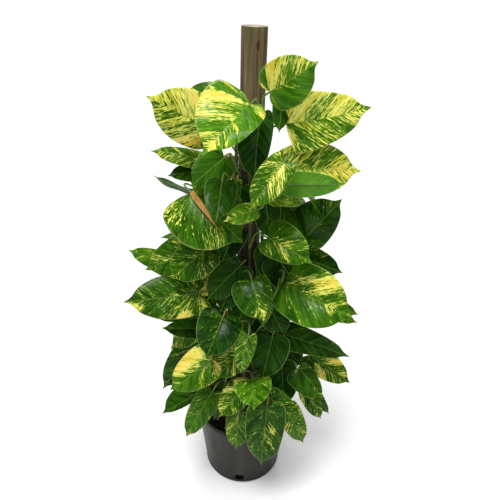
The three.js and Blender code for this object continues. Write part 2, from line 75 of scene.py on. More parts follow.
class Value:
    """One output socket of a finish, on which shader maths is written as an expression."""

    def __init__(self, finish, socket):
        self.finish = finish
        self.socket = socket

    def maths(self, operation, other=0.0):
        return self.finish.node("Math", {"operation": operation}, {0: self, 1: other})

    def __add__(self, other):
        return self.maths("ADD", other)

    def __sub__(self, other):
        return self.maths("SUBTRACT", other)

    def __rsub__(self, other):
        return self.finish.node("Math", {"operation": "SUBTRACT"}, {0: other, 1: self})

    def __mul__(self, other):
        return self.maths("MULTIPLY", other)

    __radd__ = __add__
    __rmul__ = __mul__

    def step(self, low, high):
        """0 below low, 1 above high, and a smooth rise between them."""
        inputs = {"Value": self, "From Min": low, "From Max": high}
        return self.finish.node("MapRange", {"interpolation_type": "SMOOTHSTEP"}, inputs)


class Finish:
    """A material and its nodes, with constants set on the shader's own sockets."""

    def __init__(self, name, roughness=0.5, specular=0.5, **others):
        self.material = bpy.data.materials.new(name)
        self.material.use_nodes = True
        self.tree = self.material.node_tree
        self.shader = self.tree.nodes["Principled BSDF"]
        self.colour = None
        constants = {"Roughness": roughness, "Specular IOR Level": specular, **others}
        for socket, value in constants.items():
            self.shader.inputs[socket].default_value = value

    def node(self, kind, settings=None, inputs=None, output=0):
        """Adds a node: its type, its settings, its sockets' values or links, and its output."""
        made = self.tree.nodes.new("ShaderNode" + kind)
        for setting, value in (settings or {}).items():
            setattr(made, setting, value)
        for socket, value in (inputs or {}).items():
            self.join(value, made.inputs[socket])
        return Value(self, made.outputs[output])

    def join(self, value, socket):
        if isinstance(value, Value):
            self.tree.links.new(value.socket, socket)
        else:
            socket.default_value = value

    def place(self):
        """The object's own coordinates, in metres."""
        return self.node("TexCoord", output="Object")

    def noise(self, scale, detail=3.0, roughness=0.5, where=None):
        """Noise with as many waves to a metre as scale says, in one number or one for each axis,
        over the object's own coordinates or over another place."""
        stretch = scale if isinstance(scale, tuple) else (scale, scale, scale)
        where = self.node("Mapping", inputs={"Vector": where or self.place(), "Scale": stretch})
        inputs = {"Vector": where, "Scale": 1.0, "Detail": detail, "Roughness": roughness}
        return self.node("TexNoise", inputs=inputs)

    def distance(self, centre, stretch):
        """How far it is from a centre, with each axis stretched."""
        gap = self.node("VectorMath", {"operation": "SUBTRACT"}, {0: self.place(), 1: centre})
        gap = self.node("VectorMath", {"operation": "MULTIPLY"}, {0: gap, 1: stretch})
        return self.node("VectorMath", {"operation": "LENGTH"}, {0: gap}, output="Value")

    def mix(self, mask, under, over):
        """The colour under where mask is 0, and the colour over where it is 1."""
        under, over = (
            colour if isinstance(colour, Value) else linear(colour) for colour in (under, over)
        )
        inputs = {"Factor": mask, 6: under, 7: over}
        return self.node("Mix", {"data_type": "RGBA"}, inputs, output=2)

    def lay(self, mask, colour):
        """Lays a colour over the finish's own where mask is 1."""
        self.colour = self.mix(mask, self.colour, colour)

    def attribute(self, name):
        return self.node("Attribute", {"attribute_name": name}, output="Fac")

    def bump(self, height, depth, strength=1.0):
        inputs = {"Height": height, "Distance": depth, "Strength": strength}
        return self.node("Bump", inputs=inputs)

    def wear(self, normal=None, roughness=None):
        """Joins what changes over the surface to the shader."""
        made = {"Base Color": self.colour, "Normal": normal, "Roughness": roughness}
        for socket, value in made.items():
            if value is not None:
                self.join(value, self.shader.inputs[socket])
        return self.material


def add_object(name, data):
    made = bpy.data.objects.new(name, data)
    scene.collection.objects.link(made)
    return made


def new_object(name, vertices, faces, materials=()):
    """An object, smooth all over, from points and lists of corners."""
    mesh = bpy.data.meshes.new(name)
    mesh.from_pydata(np.asarray(vertices).tolist(), [], faces)
    for material in materials:
        mesh.materials.append(material)
    mesh.shade_smooth()
    return add_object(name, mesh)


def floor_finish():
    """Pale and dull, and a little lit from within, as the table of a photographer's booth is."""
    glow = {"Emission Color": WHITE, "Emission Strength": FLOOR_GLOW}
    pale = Finish("pale_floor", 0.9, **glow)
    pale.colour = pale.mix(pale.noise(3), FLOOR_LIGHT, FLOOR_DIM)
    return pale.wear()


def floor_sheet():
    """A flat square sheet: its corners at plus and minus the reach."""
    corners = np.array([[-1, -1, 0], [1, -1, 0], [1, 1, 0], [-1, 1, 0]]) * FLOOR_REACH
    return new_object("floor", corners, [(0, 1, 2, 3)], [floor_finish()])


def add_light(name, kind, place, strength, width):
    """A light at a place, turned towards the middle of the plant."""
    data = bpy.data.lights.new(name, kind)
    data.energy = strength
    if kind == "SUN":
        data.angle = math.radians(width)
    else:
        data.shape = "DISK"
        data.size = width
    lamp = add_object(name, data)
    lamp.location = place
    lamp.rotation_mode = "QUATERNION"
    lamp.rotation_quaternion = (LOOK_AT - lamp.location).to_track_quat("-Z", "Y")


camera_data = bpy.data.cameras.new("camera")
camera_data.sensor_width = SENSOR_WIDTH
camera_data.lens = SENSOR_WIDTH * FOCUS_PIXELS / FRAME_PIXELS
camera = add_object("camera", camera_data)
camera.matrix_world = (
    Matrix.Translation(EYE)
    @ Matrix.Rotation(math.pi / 2 - EYE_PITCH, 4, "X")
    @ Matrix.Rotation(EYE_ROLL, 4, "Z")
)
scene.camera = camera

floor_sheet()
for light_name, light in LIGHTS.items():
    add_light(light_name, *light)
scene.world = bpy.data.worlds.new("studio")
scene.world.use_nodes = True
studio = scene.world.node_tree.nodes["Background"]
studio.inputs["Color"].default_value = WHITE
studio.inputs["Strength"].default_value = ROOM_LIGHT
scene.view_settings.view_transform = "Standard"


# The pot. A nursery pot, injection moulded in one piece from black plastic: a thin tapered cup
# with a raised collar for a lip, a bevelled foot and four drain holes low in its wall.
POT_HEIGHT = 0.235
POT_LIP_RADIUS = 0.137
POT_LIP_HEIGHT = 0.016
POT_LIP_DEPTH = 0.0025
POT_FOOT_RADIUS = 0.1105
POT_FOOT_BEVEL = 0.005
POT_FOOT_HOLLOW = 0.0012
POT_BAND_TOP = 0.014
POT_BAND_STEP = 0.0007
POT_CHAMFER = 0.001
POT_WALL = 0.0024
POT_FLOOR = 0.003
POT_SIDES = 160
POT_SHOULDER = POT_HEIGHT - POT_LIP_HEIGHT
POT_WALL_TOP = POT_LIP_RADIUS - POT_LIP_DEPTH
LIP_RIM_DEPTH = 0.0006
LIP_GROOVE_DEPTH = 0.0016
LIP_GROOVE_DROPS = (0.0042, 0.005, 0.0062, 0.007)
CORNER_STEPS = 4
CORNER, SMALL_CORNER = 0.0006, 0.0003
RIM_CORNER, RIM_INNER_CORNER = 0.0013, 0.0009
DRAIN_HOLES = 4
DRAIN_TURN = math.radians(-3)
DRAIN_HOLE_RADIUS = 0.0135
DRAIN_HOLE_HEIGHT = 0.028
DRILL_LENGTH = 0.04
DRILL_SIDES = 40
POT_BLACK = (22, 21, 15), (46, 44, 33)


def pot_wall_radius(height):
    """The wall's outer radius at a height: a straight line from the foot to the shoulder."""
    return POT_FOOT_RADIUS + (POT_WALL_TOP - POT_FOOT_RADIUS) * height / POT_SHOULDER


def unit(vectors):
    """The vectors, each divided by its own length."""
    return vectors / np.linalg.norm(vectors, axis=-1, keepdims=True)


def rounded_profile(corners, radii):
    """A profile of radius and height whose inner corners are rounded off: each is a quadratic
    curve between the points one radius before and after it, pulled towards the corner."""
    corners = np.array(corners, float)
    share = np.linspace(0, 1, CORNER_STEPS)[:, None]
    points = [corners[:1]]
    for before, corner, after, radius in zip(corners, corners[1:], corners[2:], radii):
        start = corner + radius * unit(before - corner)
        end = corner + radius * unit(after - corner)
        points.append((1 - share) ** 2 * start + 2 * share * (1 - share) * corner + share**2 * end)
    return np.vstack([*points, corners[-1:]])


def capped(rings, first, last):
    """A closed form from rings of points, in rows by sides, with a point at each end. A ring runs
    counter-clockwise about the way from the first ring to the last, so that faces point out."""
    here = np.arange(rings[..., 0].size).reshape(rings.shape[:2])
    beside = np.roll(here, -1, axis=1)
    start = np.full(len(here[0]), here.size)
    walls = np.stack([here[:-1], beside[:-1], beside[1:], here[1:]], -1).reshape(-1, 4)
    caps = [[start, beside[0], here[0]], [here[-1], beside[-1], start + 1]]
    faces = [*walls.tolist(), *np.stack(caps[0], -1).tolist(), *np.stack(caps[1], -1).tolist()]
    return np.vstack([rings.reshape(-1, 3), [first], [last]]), faces


def turned(profile, sides):
    """A closed form turned about the Z axis. Each inner point of the profile makes a ring, where
    the angle runs once round, and the two ends on the axis make one point each."""
    around = np.linspace(0, 2 * np.pi, sides, endpoint=False)
    radius, height = profile[1:-1, :1], profile[1:-1, 1:]
    rings = np.stack([radius * np.sin(around), -radius * np.cos(around), height + 0 * around], -1)
    return capped(rings, (0, 0, profile[0, 1]), (0, 0, profile[-1, 1]))


def pot_profile():
    """Up the outside over the foot's bevel and band, the collar and the groove below its rim,
    then down the inside."""
    foot, bevel, lip, height = POT_FOOT_RADIUS, POT_FOOT_BEVEL, POT_LIP_RADIUS, POT_HEIGHT
    rim, above_groove, below_groove, groove_foot = LIP_GROOVE_DROPS
    band_end = POT_BAND_TOP + POT_CHAMFER
    inner_top = POT_WALL_TOP - POT_WALL
    corners = [
        (0, POT_FOOT_HOLLOW),
        (0.5 * foot, POT_FOOT_HOLLOW),
        (foot - 2.2 * bevel, POT_FOOT_HOLLOW),
        (foot - 1.9 * bevel, 0),
        (foot - bevel, 0),
        (pot_wall_radius(bevel), bevel),
        (pot_wall_radius(POT_BAND_TOP), POT_BAND_TOP),
        (pot_wall_radius(band_end) - POT_BAND_STEP, band_end),
        (POT_WALL_TOP - POT_BAND_STEP, POT_SHOULDER),
        (lip - LIP_RIM_DEPTH, POT_SHOULDER + POT_CHAMFER),
        (lip - LIP_RIM_DEPTH, height - groove_foot),
        (lip - LIP_GROOVE_DEPTH, height - below_groove),
        (lip - LIP_GROOVE_DEPTH, height - above_groove),
        (lip, height - rim),
        (lip, height),
        (inner_top + POT_CHAMFER, height),
        (inner_top, POT_SHOULDER),
        (pot_wall_radius(bevel + POT_FLOOR) - POT_WALL, bevel + POT_FLOOR),
        (foot - bevel - POT_WALL, POT_FLOOR),
        (0, POT_FLOOR),
    ]
    radii = [SMALL_CORNER, CORNER, SMALL_CORNER, SMALL_CORNER, CORNER] + 8 * [SMALL_CORNER]
    radii += [RIM_CORNER, RIM_INNER_CORNER, CORNER, CORNER, CORNER]
    return rounded_profile(corners, radii)


def pot_finish():
    """Black plastic, satin, with faint upright scuffs and cloudy patches that are paler."""
    plastic = Finish("pot_plastic", specular=0.16)
    scuffs = plastic.noise((70, 70, 5), 4, 0.6)
    grain = plastic.noise(900, 2)
    worn = (scuffs * 0.6 + plastic.noise((9, 9, 4)) * 0.4).step(0.42, 0.68)
    plastic.colour = plastic.mix(worn, *POT_BLACK)
    roughness = 0.36 + worn * 0.2 + grain * 0.06
    return plastic.wear(plastic.bump(scuffs * 0.4 + grain * 0.15, 0.0006, 0.5), roughness)


pot = new_object("pot_moulding", *turned(pot_profile(), POT_SIDES), [pot_finish()])
for hole in range(DRAIN_HOLES):
    turn = DRAIN_TURN + 2 * math.pi * hole / DRAIN_HOLES
    bar = np.array([[0, -0.5], [DRAIN_HOLE_RADIUS, -0.5], [DRAIN_HOLE_RADIUS, 0.5], [0, 0.5]])
    bar[:, 1] *= DRILL_LENGTH
    drill = new_object("drain_drill", *turned(bar, DRILL_SIDES))
    drill.matrix_world = (
        Matrix.Rotation(turn, 4, "Z")
        @ Matrix.Translation((0, -POT_FOOT_RADIUS, DRAIN_HOLE_HEIGHT))
        @ Matrix.Rotation(math.pi / 2, 4, "X")
    )
    cut = pot.modifiers.new("drain", "BOOLEAN")
    cut.operation = "DIFFERENCE"
    cut.solver = "EXACT"
    cut.object = drill
    bpy.context.view_layer.update()
    bpy.context.view_layer.objects.active = pot
    with bpy.context.temp_override(object=pot, active_object=pot):
        bpy.ops.object.modifier_apply(modifier=cut.name)
    bpy.data.objects.remove(drill)
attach(pot, "root")
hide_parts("pot")


# The soil. Dark peat potting mix, pressed down by hand round the post and the stems, a little
# higher in the middle, with crumbs of peat and bark and a few white grains lying on it.
SOIL_TOP = 0.211
SOIL_EDGE_DROP = 0.006
SOIL_GAP = 0.0003
SOIL_LUMP = 0.0016
SOIL_LUMP_LENGTH = 0.006
SOIL_FOOT = POT_FLOOR + SOIL_GAP
SOIL_SEED = 5
SOIL_RINGS = 60
SOIL_SIDES = 120
CRUMB_SEED, WHITE_SEED = 11, 12
CRUMBS = 620
CRUMB_SIZE = 0.0034
CRUMB_SPREAD = 0.35
CRUMB_FLATNESS = 0.7
WHITE_SHARE = 0.07
DAMP_PEAT = (24, 18, 13), (46, 35, 26)
PEAT_CRUMB = (30, 22, 15), (72, 53, 37)
PEAT_FLECK = (70, 55, 40)
WHITE_GRAIN = (176, 170, 158), (226, 222, 212)


def ripples(seed, points, finest, count=24):
    """Rolling noise of height about 1: a sum of sine waves in seeded directions, whose length
    runs from eight times the finest to the finest."""
    draw = np.random.default_rng(seed)
    heading = draw.normal(size=(count, points.shape[-1]))
    heading /= np.linalg.norm(heading, axis=1, keepdims=True)
    length = finest * 8 ** draw.uniform(0, 1, count)
    phase = draw.uniform(0, 2 * np.pi, count)
    waves = np.sin(points @ (2 * np.pi * heading / length[:, None]).T + phase)
    return (waves * length).sum(axis=-1) / np.sqrt((length**2).sum())


def soil_height(x, y):
    """The top falls from the middle to the wall as a power of the radius, and has lumps on it
    that fade out at the wall."""
    edge = pot_wall_radius(SOIL_TOP - SOIL_EDGE_DROP) - POT_WALL - SOIL_GAP
    share = np.clip(np.hypot(x, y) / edge, 0, 1)
    lumps = ripples(SOIL_SEED, np.stack([x, y], -1), SOIL_LUMP_LENGTH) * SOIL_LUMP
    return SOIL_TOP - SOIL_EDGE_DROP * share**2.2 + lumps * (1 - share**8) - SOIL_LUMP


def soil_form():
    """A turned form whose top rings are then raised to the lumpy surface above each point."""
    edge_height = SOIL_TOP - SOIL_EDGE_DROP - SOIL_LUMP
    edge = pot_wall_radius(edge_height) - POT_WALL - SOIL_GAP
    foot = pot_wall_radius(0) - POT_WALL - SOIL_GAP
    rings = np.linspace(edge, 0, SOIL_RINGS)[:-1]
    top = np.stack([rings, np.full(rings.shape, edge_height)], -1)
    profile = np.vstack([[0, SOIL_FOOT], [foot - POT_FOOT_BEVEL, SOIL_FOOT], top, [0, edge_height]])
    vertices, faces = turned(profile, SOIL_SIDES)
    upper = vertices[:, 2] > SOIL_FOOT + 0.01
    vertices[upper, 2] = soil_height(vertices[upper, 0], vertices[upper, 1])
    return vertices, faces


CRUMB_CORNERS = np.repeat(np.eye(3), 2, axis=0) * np.tile([1, -1], 3)[:, None]
CRUMB_FACES = np.array(
    [[0, 2, 4], [2, 1, 4], [1, 3, 4], [3, 0, 4], [2, 0, 5], [1, 2, 5], [3, 1, 5], [0, 3, 5]]
)


def crumb_forms():
    """Eight-sided grains with their corners pulled about, thrown over the soil by seeded draws
    and sunk half into it."""
    draw = np.random.default_rng(CRUMB_SEED)
    reach = np.sqrt(draw.uniform(0.1, 0.9, CRUMBS)) * (POT_WALL_TOP - 2 * POT_WALL)
    around = draw.uniform(0, 2 * np.pi, CRUMBS)
    middle = np.stack([reach * np.sin(around), reach * np.cos(around)], -1)
    size = CRUMB_SIZE * draw.lognormal(0, CRUMB_SPREAD, CRUMBS)[:, None, None]
    corners = CRUMB_CORNERS * draw.uniform(0.5, 1.2, (CRUMBS, 6, 1)) * size
    corners = corners * np.array([1, 1, CRUMB_FLATNESS])
    turn = draw.uniform(0, np.pi, CRUMBS)[:, None]
    x = corners[..., 0] * np.cos(turn) - corners[..., 1] * np.sin(turn) + middle[:, :1]
    y = corners[..., 0] * np.sin(turn) + corners[..., 1] * np.cos(turn) + middle[:, 1:]
    z = corners[..., 2] + soil_height(middle[:, 0], middle[:, 1])[:, None]
    faces = CRUMB_FACES + 6 * np.arange(CRUMBS)[:, None, None]
    return np.stack([x, y, z], -1).reshape(-1, 3), faces.reshape(-1, 3).tolist()


def soil_finish():
    """Dark and damp, in broad patches, with paler flecks."""
    peat = Finish("damp_peat", 0.95, 0.25)
    flecks = peat.noise(420, 4, 0.65)
    peat.colour = peat.mix(peat.noise(40).step(0.35, 0.7), *DAMP_PEAT)
    peat.lay(flecks.step(0.62, 0.8), PEAT_FLECK)
    return peat.wear(peat.bump(flecks, 0.002, 0.8))


def crumb_finish():
    """Dry crumbs of peat and bark, from dark to mid brown."""
    grain = Finish("peat_crumb", 0.92, 0.25)
    grain.colour = grain.mix(grain.noise(160, 2), *PEAT_CRUMB)
    return grain.wear(grain.bump(grain.noise(900), 0.0008))


def two_tone_finish(name, roughness, specular, grain, colours, depth, strength, spots=None):
    """Two colours mixed by a noise that also makes the bumps. Spots of a third may lie on them:
    their noise, where they start and are full, how much they cover, and their colour."""
    finish = Finish(name, roughness, specular)
    tone = finish.noise(grain)
    finish.colour = finish.mix(tone, *colours)
    if spots:
        scale, low, high, share, colour = spots
        finish.lay(finish.noise(scale, 2).step(low, high) * share, colour)
    return finish.wear(finish.bump(tone, depth, strength))


WHITE_FINISH = two_tone_finish("white_grain", 0.85, 0.5, 500, WHITE_GRAIN, 0.0008, 1.0)
soil = new_object("soil_bed", *soil_form(), [soil_finish()])
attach(soil, "root")
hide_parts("soil")
crumbs = new_object("soil_crumbs", *crumb_forms(), [crumb_finish(), WHITE_FINISH])
is_white = np.random.default_rng(WHITE_SEED).uniform(size=CRUMBS) < WHITE_SHARE
white = np.repeat(is_white, len(CRUMB_FACES))
crumbs.data.polygons.foreach_set("material_index", white.astype(np.int32))
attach(crumbs, "root")


# The post. A round stake of weathered softwood, pushed down through the soil to the pot's floor
# and leaning a little. Rain has opened its grain in long splits, and its sawn top is pale.
POST_RADIUS = 0.026
POST_TOP = 1.218
POST_LEAN = 0.007
POST_BEVEL = 0.002
POST_SIDES = 144
POST_RINGS = 260
GRAIN_SEED, TOP_SEED, SPLIT_SEED = 21, 22, 30
GRAIN_LENGTH = 0.07
GRAIN_DEPTH = 0.0005
SPLIT_DEPTH = 0.0016
SPLIT_WIDTH = math.radians(2.2)
SPLIT_SWAY = 0.05
SPLIT_LENGTH = 0.25
SPLITS = (-38, -11, 64, 121, 200, 262)
KNOT_HEIGHT = 1.186
KNOT_AROUND = math.radians(18)
KNOT_TALL = 0.0085
KNOT_WIDE = 0.0035
KNOT_DEPTH = 0.0006
KNOT_DENT = 0.16
TOP_INSETS = (0.96, 0.9, 0.8, 0.66, 0.5, 0.34, 0.18)
TOP_ROUGHNESS = 0.0003
HEART_DROP = 0.0004
HEART = (-0.003, -0.003, 0)
END_RINGS = 2600
SHADE_TOP, SHADE_FULL = 1.04, 0.92
WOOD_BROWN = (70, 58, 34), (110, 96, 63)
WOOD_PALE_FIBRE = (150, 138, 112)
WOOD_DARK_FIBRE = (46, 36, 22)
WOOD_STAIN = (92, 92, 62)
# The colour of the painted shade on the post below the leaves.
WOOD_PAINTED_SHADE = (34, 24, 15)
KNOT_HALO = (104, 78, 48)
KNOT_CORE = (64, 37, 14)
SAWN_PALE = (174, 167, 150), (146, 137, 119)
SAWN_DIRT = (84, 75, 60)


def outward(around):
    """The direction out from the middle at an angle from the front."""
    return np.array([math.sin(around), -math.cos(around), 0])


def sine_turn(around, centre, width):
    """1 at an angle and 0 a few widths away from it: a bell curve of the sine of half the gap."""
    return np.exp(-((2 * np.sin((around - centre) / 2) / width) ** 2))


def post_form():
    """A round bar, as height up it and angle round it. Its radius is worn down by long ripples
    in the angle that drift slowly with height, by splits that sway, open and close along it, by
    the knot, and at the top edge by a bevel. The rows on the top run in to the middle."""
    foot = SOIL_FOOT
    around = np.linspace(-np.pi, np.pi, POST_SIDES, endpoint=False)
    side_height = np.linspace(foot, POST_TOP - POST_BEVEL, POST_RINGS)
    height = side_height[:, None] + 0 * around
    ring = np.stack([np.sin(around) + 0 * height, np.cos(around) + 0 * height, 0.72 * height], -1)
    worn = ripples(GRAIN_SEED, ring, GRAIN_LENGTH, 40) * GRAIN_DEPTH
    for split, degrees in enumerate(SPLITS):
        centre = math.radians(degrees) + SPLIT_SWAY * np.sin(height * 7 + split * 2)
        opening = ripples(SPLIT_SEED + split, height[..., None], SPLIT_LENGTH, 6)
        open_here = np.clip(opening + 0.35, 0, 1)
        worn = worn - SPLIT_DEPTH * open_here * sine_turn(around, centre, SPLIT_WIDTH)
    knot = sine_turn(around, KNOT_AROUND, KNOT_DENT)
    worn = worn - KNOT_DEPTH * knot * np.exp(-(((height - KNOT_HEIGHT) / KNOT_TALL) ** 2))
    radius = POST_RADIUS - GRAIN_DEPTH + np.minimum(worn, GRAIN_DEPTH)
    inwards = np.array(TOP_INSETS)[:, None]
    edge = radius[-1:] - POST_BEVEL * 0.6
    rough = ripples(TOP_SEED, np.stack([np.sin(around), np.cos(around)], -1), 0.2, 12)
    top = POST_TOP - TOP_ROUGHNESS * (1 + np.abs(rough) * inwards)
    radius = np.vstack([radius, edge + POST_BEVEL * 0.35, edge, edge * inwards])
    height = np.vstack([height, height[-1:] + POST_BEVEL * 0.6, top[:1] + 0 * edge, top])
    x = radius * np.sin(around) - POST_LEAN * height / POST_TOP
    y = -radius * np.cos(around)
    rings = np.stack([x, y, height], -1)
    vertices, faces = capped(rings, (0, 0, foot), (-POST_LEAN, 0, POST_TOP - HEART_DROP))
    sawn = np.zeros(len(faces), np.int32)
    sawn[(POST_RINGS + 1) * POST_SIDES : (len(rings) - 1) * POST_SIDES] = 1
    sawn[-POST_SIDES:] = 1
    return vertices, faces, sawn


def weathered_wood_finish():
    """Broad brown streaks under long pale and dark fibres, each a noise stretched far up the
    post, with grey-green stains, one dark knot, and painted shade: darker below the leaves' height."""
    wood = Finish("weathered_wood", 0.85, 0.3)
    fibres = wood.noise((520, 520, 9), 4, 0.62)
    streaks = wood.noise((130, 130, 3), 3, 0.55)
    stains = wood.noise((28, 28, 9))
    wood.colour = wood.mix(streaks.step(0.36, 0.66), *WOOD_BROWN)
    wood.lay(fibres.step(0.5, 0.74) * 0.55, WOOD_PALE_FIBRE)
    wood.lay(fibres.step(0.44, 0.3) * 0.7, WOOD_DARK_FIBRE)
    wood.lay(stains.step(0.5, 0.72) * 0.45, WOOD_STAIN)
    lean = np.array([POST_LEAN * KNOT_HEIGHT / POST_TOP, 0, -KNOT_HEIGHT])
    knot = POST_RADIUS * outward(KNOT_AROUND) - lean
    far = wood.distance(knot, (1 / KNOT_WIDE, 1 / KNOT_WIDE, 1 / KNOT_TALL))
    ragged = far + (streaks - 0.5) * 0.8
    wood.lay(ragged.step(2.4, 1.2) * 0.5, KNOT_HALO)
    wood.lay(ragged.step(1.2, 0.8), KNOT_CORE)
    height = wood.node("SeparateXYZ", inputs={0: wood.place()}, output="Z")
    # Painted shade: the wood darkens below where the leaves start, standing in for their shadow.
    wood.lay((height + (stains - 0.5) * 0.2).step(SHADE_TOP, SHADE_FULL) * 0.7, WOOD_PAINTED_SHADE)
    return wood.wear(wood.bump(fibres * 0.7 + streaks * 0.3, 0.0012, 0.9))


def sawn_end_finish():
    """Pale end grain: a sine of the distance from the heart makes its rings, and dirt is rubbed
    in between them."""
    wood = Finish("sawn_end", 0.8, 0.3)
    wobble = wood.noise(60, 2) * 6
    rings = (wood.distance(HEART, (1, 1, 0)) * END_RINGS + wobble).maths("SINE")
    dirt = wood.noise(90, 4, 0.6)
    wood.colour = wood.mix(rings * 0.5 + 0.5, *SAWN_PALE)
    wood.lay(dirt.step(0.52, 0.64) * 0.8, SAWN_DIRT)
    return wood.wear(wood.bump(rings * 0.3 + dirt, 0.0006, 0.7))


post_vertices, post_faces, sawn_faces = post_form()
post = new_object(
    "post_stake", post_vertices, post_faces, [weathered_wood_finish(), sawn_end_finish()]
)
post.data.polygons.foreach_set("material_index", sawn_faces)
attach(post, "root")
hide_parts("post")


# The stems. Eight cuttings set round the post, each a round green stem that leaves the soil
# upright, closes in on the wood and winds a little as it climbs, swollen at its joints. From
# each joint a pair of short brown roots grips the post.
STEM_NAMES = [
    "front", "front_right", "right", "back_right", "back", "back_left", "left", "front_left",
]
STEM_TOPS = [1.075, 1.010, 1.045, 0.965, 0.990, 0.985, 1.040, 1.000]
STEM_RADIUS = 0.0045
STEM_FOOT = 0.19
STEM_ROOT_REACH = 0.062
STEM_REACH = 0.0318
STEM_CLOSING_HEIGHT = 0.230
STEM_CLOSING_LENGTH = 0.085
STEM_SWAY = math.radians(6)
STEM_SPACING = math.radians(45)
STEM_WIND_LENGTH = 0.095
STEM_TIP_LENGTH = 0.012
STEM_SIDES = 12
STEM_RINGS = 170
JOINT_SPACING = 0.043
ROOT_RADIUS = 0.0011
ROOT_SEED = 60
ROOT_SPREAD = (0.28, 0.5)
ROOT_DROP = (0.001, 0.012)
ROOT_SINK = 0.0012
ROOT_ARCH = 0.005
ROOT_STEPS = 7
ROOT_SIDES = 6
STEM_GREEN = (40, 58, 20), (72, 88, 36)
STEM_STREAK = (150, 144, 74)
STEM_CORK = (122, 84, 44)
ROOT_CORK = (96, 66, 40), (150, 112, 72)


def stem_point(stem, height):
    """Points of a stem at these heights: its reach from the middle falls in a smooth step from
    where it is planted to the post's side, and its angle sways as a sine of the height."""
    height = np.asarray(height, float)
    share = np.clip((height - STEM_CLOSING_HEIGHT) / STEM_CLOSING_LENGTH, 0, 1)
    closing = share * share * (3 - 2 * share)
    reach = STEM_ROOT_REACH + (STEM_REACH - STEM_ROOT_REACH) * closing
    sway = STEM_SWAY * np.sin(height / STEM_WIND_LENGTH + stem * 1.7)
    around = stem * STEM_SPACING + sway * closing
    lean = -POST_LEAN * height * closing / POST_TOP
    return np.stack([np.sin(around) * reach + lean, -np.cos(around) * reach, height], -1)


def carried(path, radii, sides, beside):
    """A closed tube: a round section carried along a path, square to it, with its first corner
    turned towards the direction beside, and with a radius at each point of the path."""
    along = unit(np.gradient(path, axis=0))
    across = unit(beside - along * (along @ beside)[:, None])
    above = np.cross(along, across)
    turn = np.linspace(0, 2 * np.pi, sides, endpoint=False)[:, None]
    section = across[:, None] * np.cos(turn) + above[:, None] * np.sin(turn)
    rings = path[:, None] + section * np.asarray(radii)[:, None, None]
    return capped(rings, path[0], path[-1])


def curve(start, first_pull, second_pull, end, steps):
    """A cubic curve that leaves its start towards one point and comes to its end from another."""
    t = np.linspace(0, 1, steps)[:, None]
    pulls = 3 * (1 - t) ** 2 * t * first_pull + 3 * (1 - t) * t**2 * second_pull
    return (1 - t) ** 3 * start + pulls + t**3 * end


def joined(parts):
    """Several closed forms as one list of points and one of faces."""
    counts = np.cumsum([0] + [len(vertices) for vertices, _ in parts])
    faces = [
        [corner + count for corner in face]
        for (_, part_faces), count in zip(parts, counts)
        for face in part_faces
    ]
    return np.vstack([vertices for vertices, _ in parts]), faces


def stem_form(stem):
    """The stem's radius swells at each joint as a narrow power of a cosine, and closes to a
    round point at the top."""
    top = STEM_TOPS[stem]
    height = np.linspace(STEM_FOOT, top - 0.001, STEM_RINGS)
    joints = np.cos(np.pi * height / JOINT_SPACING) ** 2
    taper = np.sqrt(np.clip((top - height) / STEM_TIP_LENGTH, 0, 1))
    radii = STEM_RADIUS * (0.82 + 0.2 * joints**10 + 0.04 * joints) * taper
    return carried(stem_point(stem, height), radii, STEM_SIDES, outward(stem * STEM_SPACING))


def root_forms(stem):
    """From each joint that lies against the post a root runs to either side and a little down,
    and ends in the wood."""
    draw = np.random.default_rng(ROOT_SEED + stem)
    forms = []
    lowest = STEM_CLOSING_HEIGHT + STEM_CLOSING_LENGTH
    for joint in np.arange(math.ceil(lowest / JOINT_SPACING), STEM_TOPS[stem] // JOINT_SPACING):
        height = joint * JOINT_SPACING
        start = stem_point(stem, height)
        centre = np.array([-POST_LEAN * height / POST_TOP, 0, height])
        out = start - centre
        around = math.atan2(out[0], -out[1])
        for side in (-1, 1):
            turned_out = outward(around + side * draw.uniform(*ROOT_SPREAD))
            down = np.array([0, 0, -draw.uniform(*ROOT_DROP)])
            end = centre + turned_out * (POST_RADIUS - ROOT_SINK) + down
            pull = centre + turned_out * (POST_RADIUS + ROOT_ARCH) + down * 0.5
            path = curve(start, start + (pull - start) * 0.6, pull, end, ROOT_STEPS)
            radii = np.linspace(ROOT_RADIUS, ROOT_RADIUS * 0.6, ROOT_STEPS)
            forms.append(carried(path, radii, ROOT_SIDES, np.array([0.02, 0.01, 1.0])))
    return forms


def stem_finish():
    """Smooth green skin with pale yellow streaks and corky brown patches."""
    skin = Finish("stem_skin", 0.55, 0.3)
    streaks = skin.noise((260, 260, 14))
    patches = skin.noise((30, 30, 12), 2)
    skin.colour = skin.mix(patches, *STEM_GREEN)
    skin.lay(streaks.step(0.58, 0.7) * 0.6, STEM_STREAK)
    skin.lay((streaks + patches * 0.4).step(0.78, 0.9) * 0.7, STEM_CORK)
    return skin.wear(skin.bump(streaks, 0.0006, 0.6))


STEM_FINISH = stem_finish()
ROOT_FINISH = two_tone_finish("root_cork", 0.85, 0.3, 240, ROOT_CORK, 0.0006, 0.7)
for stem, name in enumerate(STEM_NAMES):
    stem_piece = new_object(f"{name}_stem", *stem_form(stem), [STEM_FINISH])
    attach(stem_piece, "root")
    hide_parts(f"vine_{name}")
    root_piece = new_object(f"{name}_roots", *joined(root_forms(stem)), [ROOT_FINISH])
    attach(root_piece, "root")


